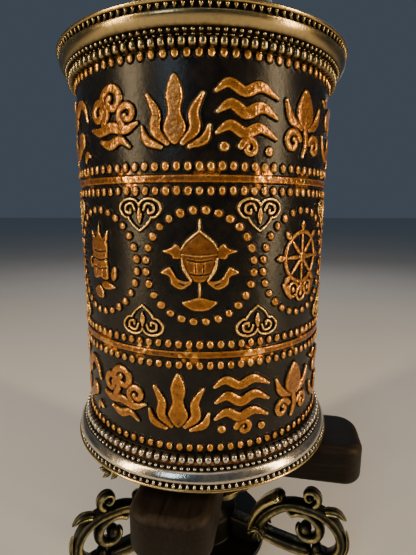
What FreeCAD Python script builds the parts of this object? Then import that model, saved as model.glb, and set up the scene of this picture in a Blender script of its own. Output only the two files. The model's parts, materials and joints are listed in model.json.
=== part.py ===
"""A table-top prayer wheel: a drum that turns on a fixed spindle above a three-legged brass stand.

Origin: the point on the table under the spindle. +Z is up, and the back leg stands on the +Y side.
Two rigid groups: the stand (hub, legs, spindle) and the drum with its cross-shaped turning handle.
"""
import FreeCAD, Part
import math
import os
import re
import Sketcher

doc = FreeCAD.newDocument("prayer_wheel")
sheet = doc.addObject("Spreadsheet::Sheet", "Sizes")

# ---------------------------------------------------------------- driving dimensions (mm, degrees)
SIZES = [
    # the drum
    ("drum_radius", 45.0),
    ("drum_bottom", 70.0),
    ("drum_length", 136.0),
    ("skin", 0.8),
    ("rest_turn", -3.2),
    ("cap_skin", 1.5),
    ("cap_recess", 1.5),
    ("cap_plate", 2.5),
    ("cap_flange", 9.0),
    # rims at the drum's ends: distances are measured from the lip towards the drum's middle
    ("rim_height", 9.8),
    ("rim_inner_gap", 0.02),
    ("lip_step_radius", 49.3),
    ("flare_radius", 50.1),
    ("flare_neck", 48.3),
    ("flare_arc", 3.2),
    ("bead_step_radius", 47.35),
    ("groove_radius", 46.3),
    ("pearl_step_radius", 45.5),
    ("lip_wire", 0.5),
    ("tooth_wire", 0.65),
    ("bead_wire", 0.44),
    ("dot_wire", 0.24),
    ("pearl_wire", 1.25),
    ("tooth_level", 1.65),
    ("bead_level", 6.2),
    ("dot_level", 6.95),
    ("pearl_level", 8.5),
    # the crown on the lid
    ("crown_foot_radius", 32.0),
    ("crown_foot_height", 4.0),
    ("crown_radius", 29.5),
    ("crown_height", 32.0),
    ("crown_skin", 1.0),
    ("crown_arc", 33.0),
    ("crown_hole", 2.5),
    ("finial_height", 23.0),
    ("finial_radius", 8.0),
    # inside the drum
    ("core_radius", 9.6),
    ("core_skin", 1.5),
    ("roll_radius", 40.0),
    ("roll_margin", 8.0),
    ("wrap_skin", 0.75),
    ("tie_width", 3.0),
    ("tie_spacing", 39.0),
    ("fit_gap", 0.05),
    # the turning handle
    ("handle_bottom", 50.0),
    ("handle_height", 16.0),
    ("handle_turn", -10.0),
    ("long_beam_reach", 58.75),
    ("long_beam_shift", 6.25),
    ("short_beam_reach", 58.0),
    ("beam_width", 26.6),
    ("beam_corner", 8.0),
    ("beam_edge", 2.5),
    ("beam_hole", 9.5),
    ("spacer_radius", 27.0),
    ("handle_screw_circle", 21.0),
    ("handle_screw", 1.9),
    ("handle_screw_head", 3.8),
    ("handle_screw_head_height", 2.6),
    ("screw_sink", 3.2),
    # the spindle and the hub
    ("spindle_radius", 4.0),
    ("spindle_bottom", 3.0),
    ("spindle_shoulder", 188.0),
    ("spindle_tip", 194.0),
    ("spindle_tip_radius", 0.6),
    ("collar_radius", 7.0),
    ("collar_height", 1.8),
    ("pivot_gap", 0.35),
    ("pivot_radius", 8.0),
    ("hub_bottom", 14.5),
    ("hub_top", 47.5),
    ("hub_radius", 15.0),
    ("hub_waist", 9.5),
    ("hub_flange", 26.0),
    ("base_plate_radius", 28.0),
    ("base_plate_height", 2.5),
    ("nut_across_flats", 13.0),
    ("nut_height", 6.5),
    ("washer_radius", 9.0),
    ("washer_height", 0.8),
    # the legs, drawn in the plane through the spindle: reach is the distance from its axis
    ("leg_wire", 2.2),
    ("curl_wire", 1.6),
    ("ring_reach", 46.5),
    ("ring_level", 31.0),
    ("ring_radius", 11.6),
    ("stem_radius", 34.0),
    ("rib_reach", 47.8),
    ("rib_level", 19.0),
    ("rib_radius", 25.8),
    ("arm_radius", 60.0),
    ("foot_arc_reach", 50.0),
    ("foot_arc_level", 8.0),
    ("foot_arc_radius", 13.5),
    ("foot_reach", 62.5),
    ("foot_radius", 5.5),
    ("foot_height", 2.6),
    ("lug_width", 8.0),
    ("lug_height", 9.5),
    ("lug_reach", 27.0),
    ("leg_right_shift", 1.5),
    ("leg_left_shift", -2.8),
    ("leg_screw_circle", 21.0),
    ("leg_screw", 1.5),
    ("leg_screw_head", 2.8),
    ("leg_screw_head_height", 2.2),
]
for row, (word, number) in enumerate(SIZES, start=1):
    sheet.set("A%d" % row, word)
    sheet.set("B%d" % row, str(number))
    sheet.setAlias("B%d" % row, word)
doc.recompute()

X_AXIS = FreeCAD.Vector(1, 0, 0)
Y_AXIS = FreeCAD.Vector(0, 1, 0)
Z_AXIS = FreeCAD.Vector(0, 0, 1)
FREECAD_WORDS = {"cos", "sin", "sqrt"}
parts = []


# ---------------------------------------------------------------- helpers
def bound(text):
    """Point each word of an expression, such as "drum_radius - skin", at its cell of the sheet."""
    return re.sub(r"[a-z]\w+", lambda m: m[0] if m[0] in FREECAD_WORDS else "Sizes." + m[0], text)


def value(text):
    """The present value of an expression written in the sheet's words."""
    return float(sheet.evalExpression(bound(text)))


def drive(item, **texts):
    """Bind properties of one object to expressions; level is its height along Z."""
    for name, text in texts.items():
        path = {"level": "Placement.Base.z", "reach": "Placement.Base.x"}.get(name, name)
        item.setExpression(path, bound(text))
    return item


def publish(item, label):
    """Name a finished sub-part and put it on the list to write."""
    item.Label = label
    parts.append(item)
    return item


def new_body(label):
    return publish(doc.addObject("PartDesign::Body", label), label)


def origin_feature(body, role):
    return next(item for item in body.Origin.OriginFeatures if item.Role == role)


def flat_sketch(body, plane, level, name, turn="0"):
    """An empty sketch parallel to one of the body's own planes."""
    sketch = body.newObject("Sketcher::SketchObject", body.Name + "_" + name)
    sketch.AttachmentSupport = [(origin_feature(body, plane), "")]
    sketch.MapMode = "FlatFace"
    lift = FreeCAD.Vector(0, 0, value(level))
    sketch.AttachmentOffset = FreeCAD.Placement(lift, FreeCAD.Rotation(Z_AXIS, value(turn)))
    sketch.setExpression("AttachmentOffset.Base.z", bound(level))
    return sketch


def outline(body, plane, corners, level="0", name="outline"):
    """A closed sketch through corners written as (across, up) expressions, lifted to a level.

    A third and fourth entry make the edge that arrives at a corner an arc: its radius, and +1 or -1
    for the side of the edge that its centre is on (+1 is the left, seen along the edge).
    """
    sketch = flat_sketch(body, plane, level, name)
    spots = [FreeCAD.Vector(value(corner[0]), value(corner[1]), 0) for corner in corners]
    starts = []
    for index, corner in enumerate(corners):
        before = spots[index - 1]
        here = spots[index]
        if len(corner) == 2:
            sketch.addGeometry(Part.LineSegment(before, here))
            starts.append(1)
        else:
            arc, clockwise = arc_between(before, here, value(corner[2]), corner[3])
            sketch.addGeometry(arc)
            starts.append(2 if clockwise else 1)
    for index in range(len(corners)):
        end = 3 - starts[index]
        following = (index + 1) % len(corners)
        sketch.addConstraint(Sketcher.Constraint("Coincident", index, end, following, starts[following]))
    for index, corner in enumerate(corners):
        end = 3 - starts[index]
        pin(sketch, "DistanceX", index, end, corner[0])
        pin(sketch, "DistanceY", index, end, corner[1])
        if len(corner) > 2:
            number = sketch.addConstraint(Sketcher.Constraint("Radius", index, value(corner[2])))
            sketch.setExpression("Constraints[%d]" % number, bound(corner[2]))
    return sketch


def pin(sketch, kind, edge, end, text):
    """Hold one end of an edge at a driven distance from the sketch's origin."""
    if value(text) == 0:
        axis = {"DistanceX": -2, "DistanceY": -1}[kind]
        sketch.addConstraint(Sketcher.Constraint("PointOnObject", edge, end, axis))
        return
    number = sketch.addConstraint(Sketcher.Constraint(kind, -1, 1, edge, end, value(text)))
    sketch.setExpression("Constraints[%d]" % number, bound(text))


def arc_between(start, end, radius, side):
    """The short arc from start to end with its centre on the given side."""
    chord = end - start
    middle = (start + end) * 0.5
    left = FreeCAD.Vector(-chord.y, chord.x, 0).normalize()
    centre = middle + left * side * math.sqrt(radius ** 2 - (chord.Length / 2) ** 2)
    outward = (middle - centre).normalize()
    arc = Part.Arc(start, centre + outward * radius, end)
    return arc, side < 0


def turned(label, corners):
    """A piece turned about the spindle's axis, from its half section as (radius, height)."""
    body = new_body(label)
    section = outline(body, "XZ_Plane", corners)
    turn = body.newObject("PartDesign::Revolution", label + "_turn")
    turn.Profile = section
    turn.ReferenceAxis = (section, ["V_Axis"])
    turn.Angle = 360
    return body


def tube(label, inner, outer, bottom, top):
    """A plain tube or ring with square edges."""
    return turned(label, [(inner, bottom), (outer, bottom), (outer, top), (inner, top)])


def wire_ring(label, ring, wire, level):
    """A round wire bent to a ring about the axis."""
    torus = drive(doc.addObject("Part::Torus", label), Radius1=ring, Radius2=wire, level=level)
    return publish(torus, label)


def cylinder(name, radius, height, level, reach="0"):
    item = doc.addObject("Part::Cylinder", name)
    return drive(item, Radius=radius, Height=height, level=level, reach=reach)


def fused(name, items):
    fuse = doc.addObject("Part::MultiFuse", name)
    fuse.Shapes = items
    return fuse


def cut(name, base, tool):
    item = doc.addObject("Part::Cut", name)
    item.Base = base
    item.Tool = tool
    return item


def group(label, items):
    """Separate solids that are identical fasteners, kept in one sub-part."""
    compound = doc.addObject("Part::Compound", label)
    compound.Links = items
    return publish(compound, label)


def turn_by(item, text):
    """Turn an object about the Z axis by a driven angle."""
    item.Placement.Rotation = FreeCAD.Rotation(Z_AXIS, value(text))
    item.setExpression("Placement.Rotation.Angle", bound(text))
    return item


def cut_holes(body, name, circle, radius, count, level, depth, turn="0"):
    """Cut a ring of round holes upwards from a level."""
    sketch = flat_sketch(body, "XY_Plane", level, name, turn)
    sketch.addGeometry(Part.Circle(FreeCAD.Vector(value(circle), 0, 0), Z_AXIS, value(radius)))
    pin(sketch, "DistanceX", 0, 3, circle)
    pin(sketch, "DistanceY", 0, 3, "0")
    number = sketch.addConstraint(Sketcher.Constraint("Radius", 0, value(radius)))
    sketch.setExpression("Constraints[%d]" % number, bound(radius))
    pocket = cut_upwards(body, sketch, depth)
    if count == 1:
        return
    ring = body.newObject("PartDesign::PolarPattern", body.Name + "_" + name + "_ring")
    ring.Originals = [pocket]
    ring.Axis = (origin_feature(body, "Z_Axis"), [""])
    ring.Occurrences = count
    ring.Angle = 360
    body.Tip = ring


def cut_upwards(body, sketch, depth):
    """Pocket a sketch towards +Z."""
    pocket = body.newObject("PartDesign::Pocket", sketch.Name + "_cut")
    pocket.Profile = sketch
    pocket.Reversed = True
    pocket.Length = value(depth)
    pocket.setExpression("Length", bound(depth))
    return pocket


# ---------------------------------------------------------------- the drum's shell
def cap(label, lip, inward, hole):
    """A drawn lid that closes one end of the drum; inward is "+" for the lower end and "-" for the upper."""
    face = "%s %s cap_recess" % (lip, inward)
    back = "%s %s (cap_recess + cap_plate)" % (lip, inward)
    flange = "%s %s (cap_recess + cap_flange)" % (lip, inward)
    outer = "drum_radius - skin - fit_gap"
    inner = "drum_radius - skin - fit_gap - cap_skin"
    corners = [(hole, face), (outer, face), (outer, flange), (inner, flange), (inner, back), (hole, back)]
    if inward == "-":
        corners.reverse()
    return turned(label, corners)


def rim(prefix, lip, inward):
    """The cast rim of one end with its soldered wires, listed from the lip inwards."""
    def at(distance):
        return "%s %s %s" % (lip, inward, distance)

    inner = "drum_radius + rim_inner_gap"
    side = 1 if inward == "+" else -1
    corners = [
        (inner, at("0")),
        ("lip_step_radius", at("0")),
        ("lip_step_radius", at("2.35")),
        ("flare_radius", at("2.45")),
        ("flare_neck", at("5.7"), "flare_arc", side),
        ("bead_step_radius", at("5.75")),
        ("bead_step_radius", at("6.65")),
        ("groove_radius", at("6.7")),
        ("groove_radius", at("7.2")),
        ("pearl_step_radius", at("7.25")),
        ("pearl_step_radius", at("rim_height")),
        (inner, at("rim_height")),
    ]
    turned(prefix + "_rim_band", corners)
    wire_ring(prefix + "_lip_wire", "flare_radius + 0.2", "lip_wire", at("lip_wire"))
    wire_ring(prefix + "_tooth_wire", "lip_step_radius + tooth_wire + fit_gap", "tooth_wire", at("tooth_level"))
    wire_ring(prefix + "_bead_wire", "bead_step_radius + bead_wire + fit_gap", "bead_wire", at("bead_level"))
    wire_ring(prefix + "_pearl_wire", "pearl_step_radius + pearl_wire + fit_gap", "pearl_wire", at("pearl_level"))


DRUM_TOP = "(drum_bottom + drum_length)"
tube("drum_sleeve", "drum_radius - skin", "drum_radius", "drum_bottom + 1", DRUM_TOP + " - 1")
bottom_cap = cap("bottom_cap", "drum_bottom", "+", "pivot_radius - 1")
cap("top_cap", DRUM_TOP, "-", "crown_hole + 0.5")
rim("bottom", "drum_bottom", "+")
rim("top", DRUM_TOP, "-")
wire_ring("top_dot_wire", "groove_radius + dot_wire + fit_gap", "dot_wire", DRUM_TOP + " - dot_level")

# ---------------------------------------------------------------- the crown on the lid
LID = DRUM_TOP + " - cap_recess"
DOME_FOOT = LID + " + crown_foot_height"
DOME_TOP = LID + " + crown_foot_height + crown_height"
turned("crown_foot", [
    ("crown_foot_radius - 6", LID),
    ("crown_foot_radius", LID),
    ("crown_foot_radius", LID + " + 1.2"),
    ("crown_foot_radius - 1.2", LID + " + 2"),
    ("crown_foot_radius - 0.6", LID + " + 3"),
    ("crown_radius", DOME_FOOT),
    ("crown_foot_radius - 6", DOME_FOOT),
])
turned("crown_dome", [
    ("crown_radius", DOME_FOOT),
    ("crown_radius - 7", DOME_FOOT + " + 20", "crown_arc", 1),
    ("7", DOME_TOP, "crown_arc - 5", -1),
    ("crown_hole", DOME_TOP),
    ("crown_hole", DOME_TOP + " - crown_skin"),
    ("6", DOME_TOP + " - crown_skin"),
    ("crown_radius - 7 - crown_skin", DOME_FOOT + " + 19.5", "crown_arc - 5", 1),
    ("crown_radius - crown_skin", DOME_FOOT, "crown_arc", -1),
])
turned("finial", [
    ("0", DOME_TOP + " - 7"),
    ("crown_hole - fit_gap", DOME_TOP + " - 7"),
    ("crown_hole - fit_gap", DOME_TOP),
    ("6.5", DOME_TOP),
    ("4", DOME_TOP + " + 3.5"),
    ("finial_radius - 1", DOME_TOP + " + 6"),
    ("finial_radius", DOME_TOP + " + 10"),
    ("finial_radius - 2.5", DOME_TOP + " + 16"),
    ("1.6", DOME_TOP + " + finial_height - 2"),
    ("0", DOME_TOP + " + finial_height"),
])


def hex_nut(label, across_flats, height, hole, level):
    """A plain hexagonal nut about the axis."""
    prism = drive(doc.addObject("Part::Prism", label + "_prism"),
                  Circumradius=across_flats + " / sqrt(3)", Height=height, level=level)
    prism.Polygon = 6
    bore = cylinder(label + "_bore", hole, height + " + 2", level + " - 1")
    return publish(cut(label + "_cut", prism, bore), label)


hex_nut("finial_nut", "9", "3.2", "crown_hole", DOME_TOP + " - crown_skin - 3.2")

# ---------------------------------------------------------------- inside the drum
ROLL_BOTTOM = "drum_bottom + roll_margin"
ROLL_TOP = DRUM_TOP + " - roll_margin - 4"
LID_BACK = DRUM_TOP + " - cap_recess - cap_plate"
CAP_FACE = "drum_bottom + cap_recess"
CAP_BACK = "drum_bottom + cap_recess + cap_plate"
turned("lower_bush", [
    ("spindle_radius + fit_gap", CAP_FACE + " - 6"),
    ("pivot_radius - 1 - fit_gap", CAP_FACE + " - 6"),
    ("pivot_radius - 1 - fit_gap", CAP_BACK),
    ("core_radius - 1", CAP_BACK),
    ("core_radius - 1", CAP_BACK + " + 1.2"),
    ("spindle_radius + fit_gap", CAP_BACK + " + 1.2"),
])
tube("core_tube", "core_radius - core_skin", "core_radius", CAP_BACK + " + 1.25", LID_BACK)
tube("mantra_roll", "core_radius + fit_gap", "roll_radius", ROLL_BOTTOM, ROLL_TOP)
tube("roll_wrap", "roll_radius + fit_gap", "roll_radius + wrap_skin", ROLL_BOTTOM, ROLL_TOP)


def roll_tie(number):
    """One thread band wound round the wrapped roll."""
    level = "%s + %d * tie_spacing - tie_width / 2 + 20" % (ROLL_BOTTOM, number)
    outer = cylinder("tie_%d" % number, "roll_radius + wrap_skin + 0.9", "tie_width", level)
    inner = cylinder("tie_%d_core" % number, "roll_radius + wrap_skin + fit_gap", "tie_width", level)
    return cut("tie_%d_band" % number, outer, inner)


group("roll_ties", [roll_tie(number) for number in range(3)])
turned("pivot_cup", [
    ("spindle_radius + pivot_gap", "spindle_shoulder - 3"),
    ("pivot_radius", "spindle_shoulder - 3"),
    ("pivot_radius", LID_BACK),
    ("crown_hole", LID_BACK),
    ("crown_hole", LID + " + 6"),
    ("0", LID + " + 6"),
    ("0", "spindle_tip + pivot_gap"),
    ("spindle_tip_radius + pivot_gap", "spindle_tip + pivot_gap"),
    ("spindle_radius + pivot_gap", "spindle_shoulder + pivot_gap"),
])
hex_nut("pivot_nut", "9", "3.2", "crown_hole + fit_gap", LID)

# ---------------------------------------------------------------- the turning handle
HANDLE_TOP = "handle_bottom + handle_height"


def faces_across(feature, direction):
    """The names of a feature's flat faces that look along a direction, either way."""
    names = []
    for number, face in enumerate(feature.Shape.Faces, start=1):
        flat = isinstance(face.Surface, Part.Plane)
        if flat and abs(face.normalAt(0, 0).dot(direction)) > 0.999:
            names.append("Face%d" % number)
    return names


def beam(label, reach, shift, turn, lap_level):
    """One beam of the cross: rounded ends, softened edges, and a halved joint over half its height.

    The beam is 2 * reach long, and its middle stands off the axis by shift.
    """
    body = new_body(label)
    side = "beam_width / 2"
    corner_side = "(beam_width / 2 - beam_corner)"
    near = "(%s - %s)" % (shift, reach)
    far = "(%s + %s)" % (shift, reach)
    shape = outline(body, "XY_Plane", [
        (near + " + beam_corner", "-" + side, "beam_corner", 1),
        (far + " - beam_corner", "-" + side),
        (far, "-" + corner_side, "beam_corner", 1),
        (far, corner_side),
        (far + " - beam_corner", side, "beam_corner", 1),
        (near + " + beam_corner", side),
        (near, corner_side, "beam_corner", 1),
        (near, "-" + corner_side),
    ], level="handle_bottom")
    pad = body.newObject("PartDesign::Pad", label + "_block")
    pad.Profile = shape
    pad.setExpression("Length", bound("handle_height"))
    doc.recompute()
    soft = body.newObject("PartDesign::Fillet", label + "_soft_edges")
    soft.Base = (pad, faces_across(pad, Z_AXIS))
    soft.setExpression("Radius", bound("beam_edge"))
    doc.recompute()
    lap = outline(body, "XY_Plane", [
        ("-(beam_width / 2 + fit_gap)", "-beam_width"),
        ("beam_width / 2 + fit_gap", "-beam_width"),
        ("beam_width / 2 + fit_gap", "beam_width"),
        ("-(beam_width / 2 + fit_gap)", "beam_width"),
    ], level=lap_level, name="lap")
    cut_upwards(body, lap, "handle_height / 2 + fit_gap")
    cut_holes(body, "spindle", "0", "beam_hole", 1, "handle_bottom", "handle_height")
    cut_holes(body, "screws", "handle_screw_circle", "handle_screw + 0.1", 2, "handle_bottom", "handle_height")
    cut_holes(body, "heads", "handle_screw_circle", "handle_screw_head + 0.3", 2, "handle_bottom", "screw_sink")
    return turn_by(body, turn)


LONG_TURN = "rest_turn + handle_turn"
SHORT_TURN = "rest_turn + handle_turn + 90"
beam("long_handle_beam", "long_beam_reach", "long_beam_shift", LONG_TURN, "handle_bottom - fit_gap")
beam("short_handle_beam", "short_beam_reach", "0", SHORT_TURN, "handle_bottom + handle_height / 2")
spacer = tube("handle_spacer", "pivot_radius - 1", "spacer_radius", HANDLE_TOP, CAP_FACE)
cut_holes(spacer, "screws", "handle_screw_circle", "handle_screw + fit_gap", 4, HANDLE_TOP, "10", LONG_TURN)
cut_holes(bottom_cap, "screws", "handle_screw_circle", "handle_screw + fit_gap", 4, CAP_FACE, "10", LONG_TURN)
doc.recompute()


def screw(name, shank, head, head_height, seat, tip, circle, turn):
    """A cheese-head screw pointing up: its head hangs below the seat and its shank reaches the tip."""
    head_part = cylinder(name + "_head", head, head_height, "%s - %s" % (seat, head_height), circle)
    shank_part = cylinder(name + "_shank", shank, "%s - (%s)" % (tip, seat), seat, circle)
    return turn_by(fused(name, [head_part, shank_part]), turn)


group("handle_screws", [
    screw("handle_screw_%d" % number, "handle_screw", "handle_screw_head", "handle_screw_head_height",
          "handle_bottom + screw_sink", CAP_BACK, "handle_screw_circle", LONG_TURN + " + %d" % (90 * number))
    for number in range(4)
])

# ---------------------------------------------------------------- the spindle and the hub
PLATE_BOTTOM = "hub_bottom - base_plate_height"
NUT_TOP = "hub_bottom - base_plate_height - washer_height"
turned("spindle", [
    ("0", "spindle_bottom"),
    ("spindle_radius", "spindle_bottom"),
    ("spindle_radius", "hub_top"),
    ("collar_radius", "hub_top"),
    ("collar_radius", "hub_top + collar_height"),
    ("spindle_radius", "hub_top + collar_height"),
    ("spindle_radius", "spindle_shoulder"),
    ("spindle_tip_radius", "spindle_tip"),
    ("0", "spindle_tip"),
])
turned("hub", [
    ("spindle_radius + fit_gap", "hub_bottom"),
    ("hub_radius", "hub_bottom"),
    ("hub_radius", "hub_bottom + 9.5"),
    ("hub_radius - 2", "hub_bottom + 11"),
    ("hub_waist", "hub_bottom + 17", "12", -1),
    ("hub_waist + 2", "hub_bottom + 24"),
    ("hub_flange - 3", "hub_top - 4", "18", -1),
    ("hub_flange", "hub_top - 3"),
    ("hub_flange", "hub_top - 1"),
    ("hub_flange - 1", "hub_top"),
    ("spindle_radius + fit_gap", "hub_top"),
])
plate = tube("base_plate", "spindle_radius + fit_gap", "base_plate_radius", PLATE_BOTTOM, "hub_bottom")
cut_holes(plate, "screws", "leg_screw_circle", "leg_screw + fit_gap", 3, PLATE_BOTTOM, "base_plate_height", "-30")
tube("spindle_washer", "spindle_radius + fit_gap", "washer_radius", NUT_TOP, PLATE_BOTTOM)
hex_nut("spindle_nut", "nut_across_flats", "nut_height", "spindle_radius + fit_gap", NUT_TOP + " - nut_height")

# ---------------------------------------------------------------- the legs
# Each stroke of a leg's scrollwork is an arc of round wire in the leg's own plane:
# the reach and level of its centre, its radius, the wire, and the angles it runs between.
STROKES = {
    "ring": ("ring_reach", "ring_level", "ring_radius", "leg_wire", -75, 118),
    "stem": ("ring_reach + (ring_radius - stem_radius) * cos(118)",
             "ring_level + (ring_radius - stem_radius) * sin(118)", "stem_radius", "leg_wire", 118, 162),
    "rib": ("rib_reach", "rib_level", "rib_radius", "leg_wire", 122, 180),
    "arm": ("foot_arc_reach - (arm_radius + foot_arc_radius) * cos(-80)",
            "foot_arc_level - (arm_radius + foot_arc_radius) * sin(-80)", "arm_radius", "leg_wire", -103, -80),
    "foot_arc": ("foot_arc_reach", "foot_arc_level", "foot_arc_radius", "leg_wire", -22, 100),
    "top_curl": ("ring_reach", "ring_level + ring_radius + 2.7", "2.4", "curl_wire - 0.5", -120, 180),
    "inner_curl": ("ring_reach - 0.5", "ring_level - 0.5", "4.4", "curl_wire", -150, 120),
    "inner_link": ("ring_reach + 0.8", "ring_level - 2.75", "7", "curl_wire", 120, 226),
    "lower_curl": ("foot_arc_reach + 1.8", "foot_arc_level + 5", "4.6", "curl_wire", -60, 230),
}
BALLS = {
    "ring_ball": ("ring_reach + 3", "ring_level - 6.8", "1.9"),
    "top_eye": ("ring_reach - 0.4", "ring_level + ring_radius + 2.4", "1.4"),
    "inner_eye": ("ring_reach - 1.7", "ring_level - 1.4", "2.3"),
    "lower_eye": ("foot_arc_reach + 2.6", "foot_arc_level + 3.7", "2.4"),
    "rib_top": ("rib_reach + rib_radius * cos(122)", "rib_level + rib_radius * sin(122)", "2.6"),
}


def stroke(name, reach, level, radius, wire, start, finish):
    """An arc of round wire standing in the plane through the spindle."""
    arc = doc.addObject("Part::Torus", name)
    arc.Placement.Rotation = FreeCAD.Rotation(X_AXIS, 90).multiply(FreeCAD.Rotation(Z_AXIS, start))
    arc.Angle3 = finish - start
    return drive(arc, Radius1=radius, Radius2=wire, reach=reach, level=level)


def ball(name, reach, level, radius):
    return drive(doc.addObject("Part::Sphere", name), Radius=radius, reach=reach, level=level)


def lug(name):
    """The block at the leg's root that the base plate's screw holds, hollowed to fit the hub."""
    block = doc.addObject("Part::Box", name + "_block")
    drive(block, Length="lug_reach - hub_radius + 2", Width="lug_width", Height="lug_height",
          reach="hub_radius - 2", level="hub_bottom")
    block.setExpression("Placement.Base.y", bound("-lug_width / 2"))
    return block


def leg_tip(name, shift):
    """The leaf point on the ring's shoulder."""
    tip = doc.addObject("Part::Cone", name)
    tip.Placement.Rotation = FreeCAD.Rotation(Y_AXIS, 38)
    return drive(tip, Radius1="2.4", Radius2="0.6", Height="5",
                 reach="ring_reach + 6 + " + shift, level="ring_level + 9")


def leg(label, angle, shift):
    """One cast scroll leg, standing on a round foot; shift moves its scrollwork outwards."""
    solids = [stroke("%s_%s" % (label, name), "%s + %s" % (reach, shift), *rest)
              for name, (reach, *rest) in STROKES.items()]
    solids += [ball("%s_%s" % (label, name), "%s + %s" % (reach, shift), *rest)
               for name, (reach, *rest) in BALLS.items()]
    solids.append(lug(label + "_lug"))
    solids.append(leg_tip(label + "_tip", shift))
    solids.append(cylinder(label + "_foot", "foot_radius", "foot_height", "0", "foot_reach + " + shift))
    casting = fused(label + "_casting", solids)
    seat = cylinder(label + "_seat", "hub_radius + fit_gap", "lug_height + 4", "hub_bottom - 2")
    thread = cylinder(label + "_thread", "leg_screw + fit_gap", "lug_height - 2", "hub_bottom - 1",
                      "leg_screw_circle")
    whole = cut(label + "_cut", casting, fused(label + "_holes", [seat, thread]))
    return turn_by(publish(whole, label), angle)


LEG_ANGLES = {"leg_right": "-30", "leg_back": "90", "leg_left": "210"}
leg("leg_right", LEG_ANGLES["leg_right"], "leg_right_shift")
leg("leg_back", LEG_ANGLES["leg_back"], "0")
leg("leg_left", LEG_ANGLES["leg_left"], "leg_left_shift")
group("leg_screws", [
    screw("leg_screw_%d" % number, "leg_screw", "leg_screw_head", "leg_screw_head_height",
          PLATE_BOTTOM, "hub_bottom + lug_height - 3.5", "leg_screw_circle", angle)
    for number, angle in enumerate(LEG_ANGLES.values())
])

# ---------------------------------------------------------------- check and write
doc.recompute()
for item in doc.Objects:
    if "Invalid" in item.State or "Error" in item.State:
        raise RuntimeError("%s is %s" % (item.Name, item.State))
os.makedirs("parts", exist_ok=True)
for part in parts:
    shape = part.Shape
    if shape.isNull() or not shape.isValid() or not shape.Solids:
        raise RuntimeError("%s has no valid solid" % part.Label)
    shape.exportStep("parts/%s.step" % part.Label)
    print("%-20s %2d solids %10.1f mm3" % (part.Label, len(shape.Solids), shape.Volume))
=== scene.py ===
"""The looks of a table-top prayer wheel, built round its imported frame.

Lengths in this script are millimetres until a mesh is made; MM turns them into metres.
The drum's skin is unrolled for drawing: "across" is the arc from the front medallion's centre
(to the right is positive) and "level" is the height from the drum's middle.
"""
import json
import math

import bpy
import numpy as np
from mathutils import Matrix, Vector


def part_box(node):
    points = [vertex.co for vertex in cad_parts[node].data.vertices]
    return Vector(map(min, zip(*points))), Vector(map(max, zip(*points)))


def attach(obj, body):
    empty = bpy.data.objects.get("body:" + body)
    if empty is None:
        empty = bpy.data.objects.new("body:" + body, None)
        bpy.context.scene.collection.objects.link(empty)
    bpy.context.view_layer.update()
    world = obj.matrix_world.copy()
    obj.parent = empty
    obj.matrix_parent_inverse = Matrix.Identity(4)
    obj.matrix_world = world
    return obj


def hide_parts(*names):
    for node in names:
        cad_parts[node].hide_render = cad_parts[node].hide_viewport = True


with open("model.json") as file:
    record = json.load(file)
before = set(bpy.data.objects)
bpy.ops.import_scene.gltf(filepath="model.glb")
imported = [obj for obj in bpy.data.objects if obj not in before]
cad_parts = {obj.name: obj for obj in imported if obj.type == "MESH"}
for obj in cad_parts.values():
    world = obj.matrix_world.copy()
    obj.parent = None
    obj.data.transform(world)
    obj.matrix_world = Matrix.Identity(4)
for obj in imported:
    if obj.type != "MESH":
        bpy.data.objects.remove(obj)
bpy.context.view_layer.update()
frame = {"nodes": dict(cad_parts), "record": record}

MM = 0.001
TAU = 2 * math.pi


def node_mm(name):
    """A CAD node's lowest and highest corners in millimetres."""
    low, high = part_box(name)
    return np.array(low) / MM, np.array(high) / MM


# ---------------------------------------------------------------- sizes read from the frame
DRUM_R = node_mm("drum_sleeve")[1][0]
LIP_LOW = node_mm("bottom_rim_band")[0][2]
LIP_HIGH = node_mm("top_rim_band")[1][2]
MIDDLE = (LIP_LOW + LIP_HIGH) / 2
AROUND = TAU * DRUM_R
# the drum rests a little turned, and FRONT is the angle of its front medallion
DRUM_TURN = math.radians(-3.2)
FRONT = -math.pi / 2 + DRUM_TURN


# ---------------------------------------------------------------- mesh helpers
def new_piece(name, points_mm, faces, body, material, replaces=(), wear_and_shade=None):
    """A mesh object from points in millimetres, riding on a body; its four-cornered faces are smooth.

    wear is how bright each point is, from 0 to 1: rubbed bright on crests and worn edges, and on metal low
    in hollows and on sides that face other parts, where it is painted shade.
    """
    face_list = faces.tolist() if isinstance(faces, np.ndarray) else faces
    mesh = bpy.data.meshes.new(name)
    mesh.from_pydata((np.asarray(points_mm, float) * MM).tolist(), [], face_list)
    mesh.polygons.foreach_set("use_smooth", [len(face) == 4 for face in face_list])
    mesh.update()
    piece = bpy.data.objects.new(name, mesh)
    bpy.context.scene.collection.objects.link(piece)
    mesh.materials.append(material)
    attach(piece, body)
    if replaces:
        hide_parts(*replaces)
    if wear_and_shade is not None:
        add_attribute(piece, "wear_and_shade", wear_and_shade)
    return piece


def add_attribute(piece, name, values):
    """A per-vertex number that the piece's material reads."""
    attribute = piece.data.attributes.new(name, "FLOAT", "POINT")
    attribute.data.foreach_set("value", np.asarray(values, np.float32).ravel())


def grid_faces(rows, columns, closed_rows=False, first=0):
    """Quads over rings of points stored row by row, facing outwards for rows that climb."""
    row_count = rows if closed_rows else rows - 1
    row, column = np.meshgrid(np.arange(row_count), np.arange(columns), indexing="ij")
    next_row = (row + 1) % rows
    next_column = (column + 1) % columns
    corners = (row * columns + column, row * columns + next_column,
               next_row * columns + next_column, next_row * columns + column)
    return np.stack(corners, -1).reshape(-1, 4) + first


def lathe_points(profile, segments, ripple=None):
    """A (radius, height) profile turned about the spindle; ripple(angle, row) may scale the radius."""
    angle = np.arange(segments) / segments * TAU
    profile = np.asarray(profile, float)
    radius = np.repeat(profile[:, :1], segments, 1)
    if ripple is not None:
        radius = radius * ripple(angle[None, :], np.arange(len(profile))[:, None])
    height = np.repeat(profile[:, 1:2], segments, 1)
    return np.stack([radius * np.cos(angle), radius * np.sin(angle), height], -1).reshape(-1, 3)


CORNER_STEPS = 3


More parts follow.
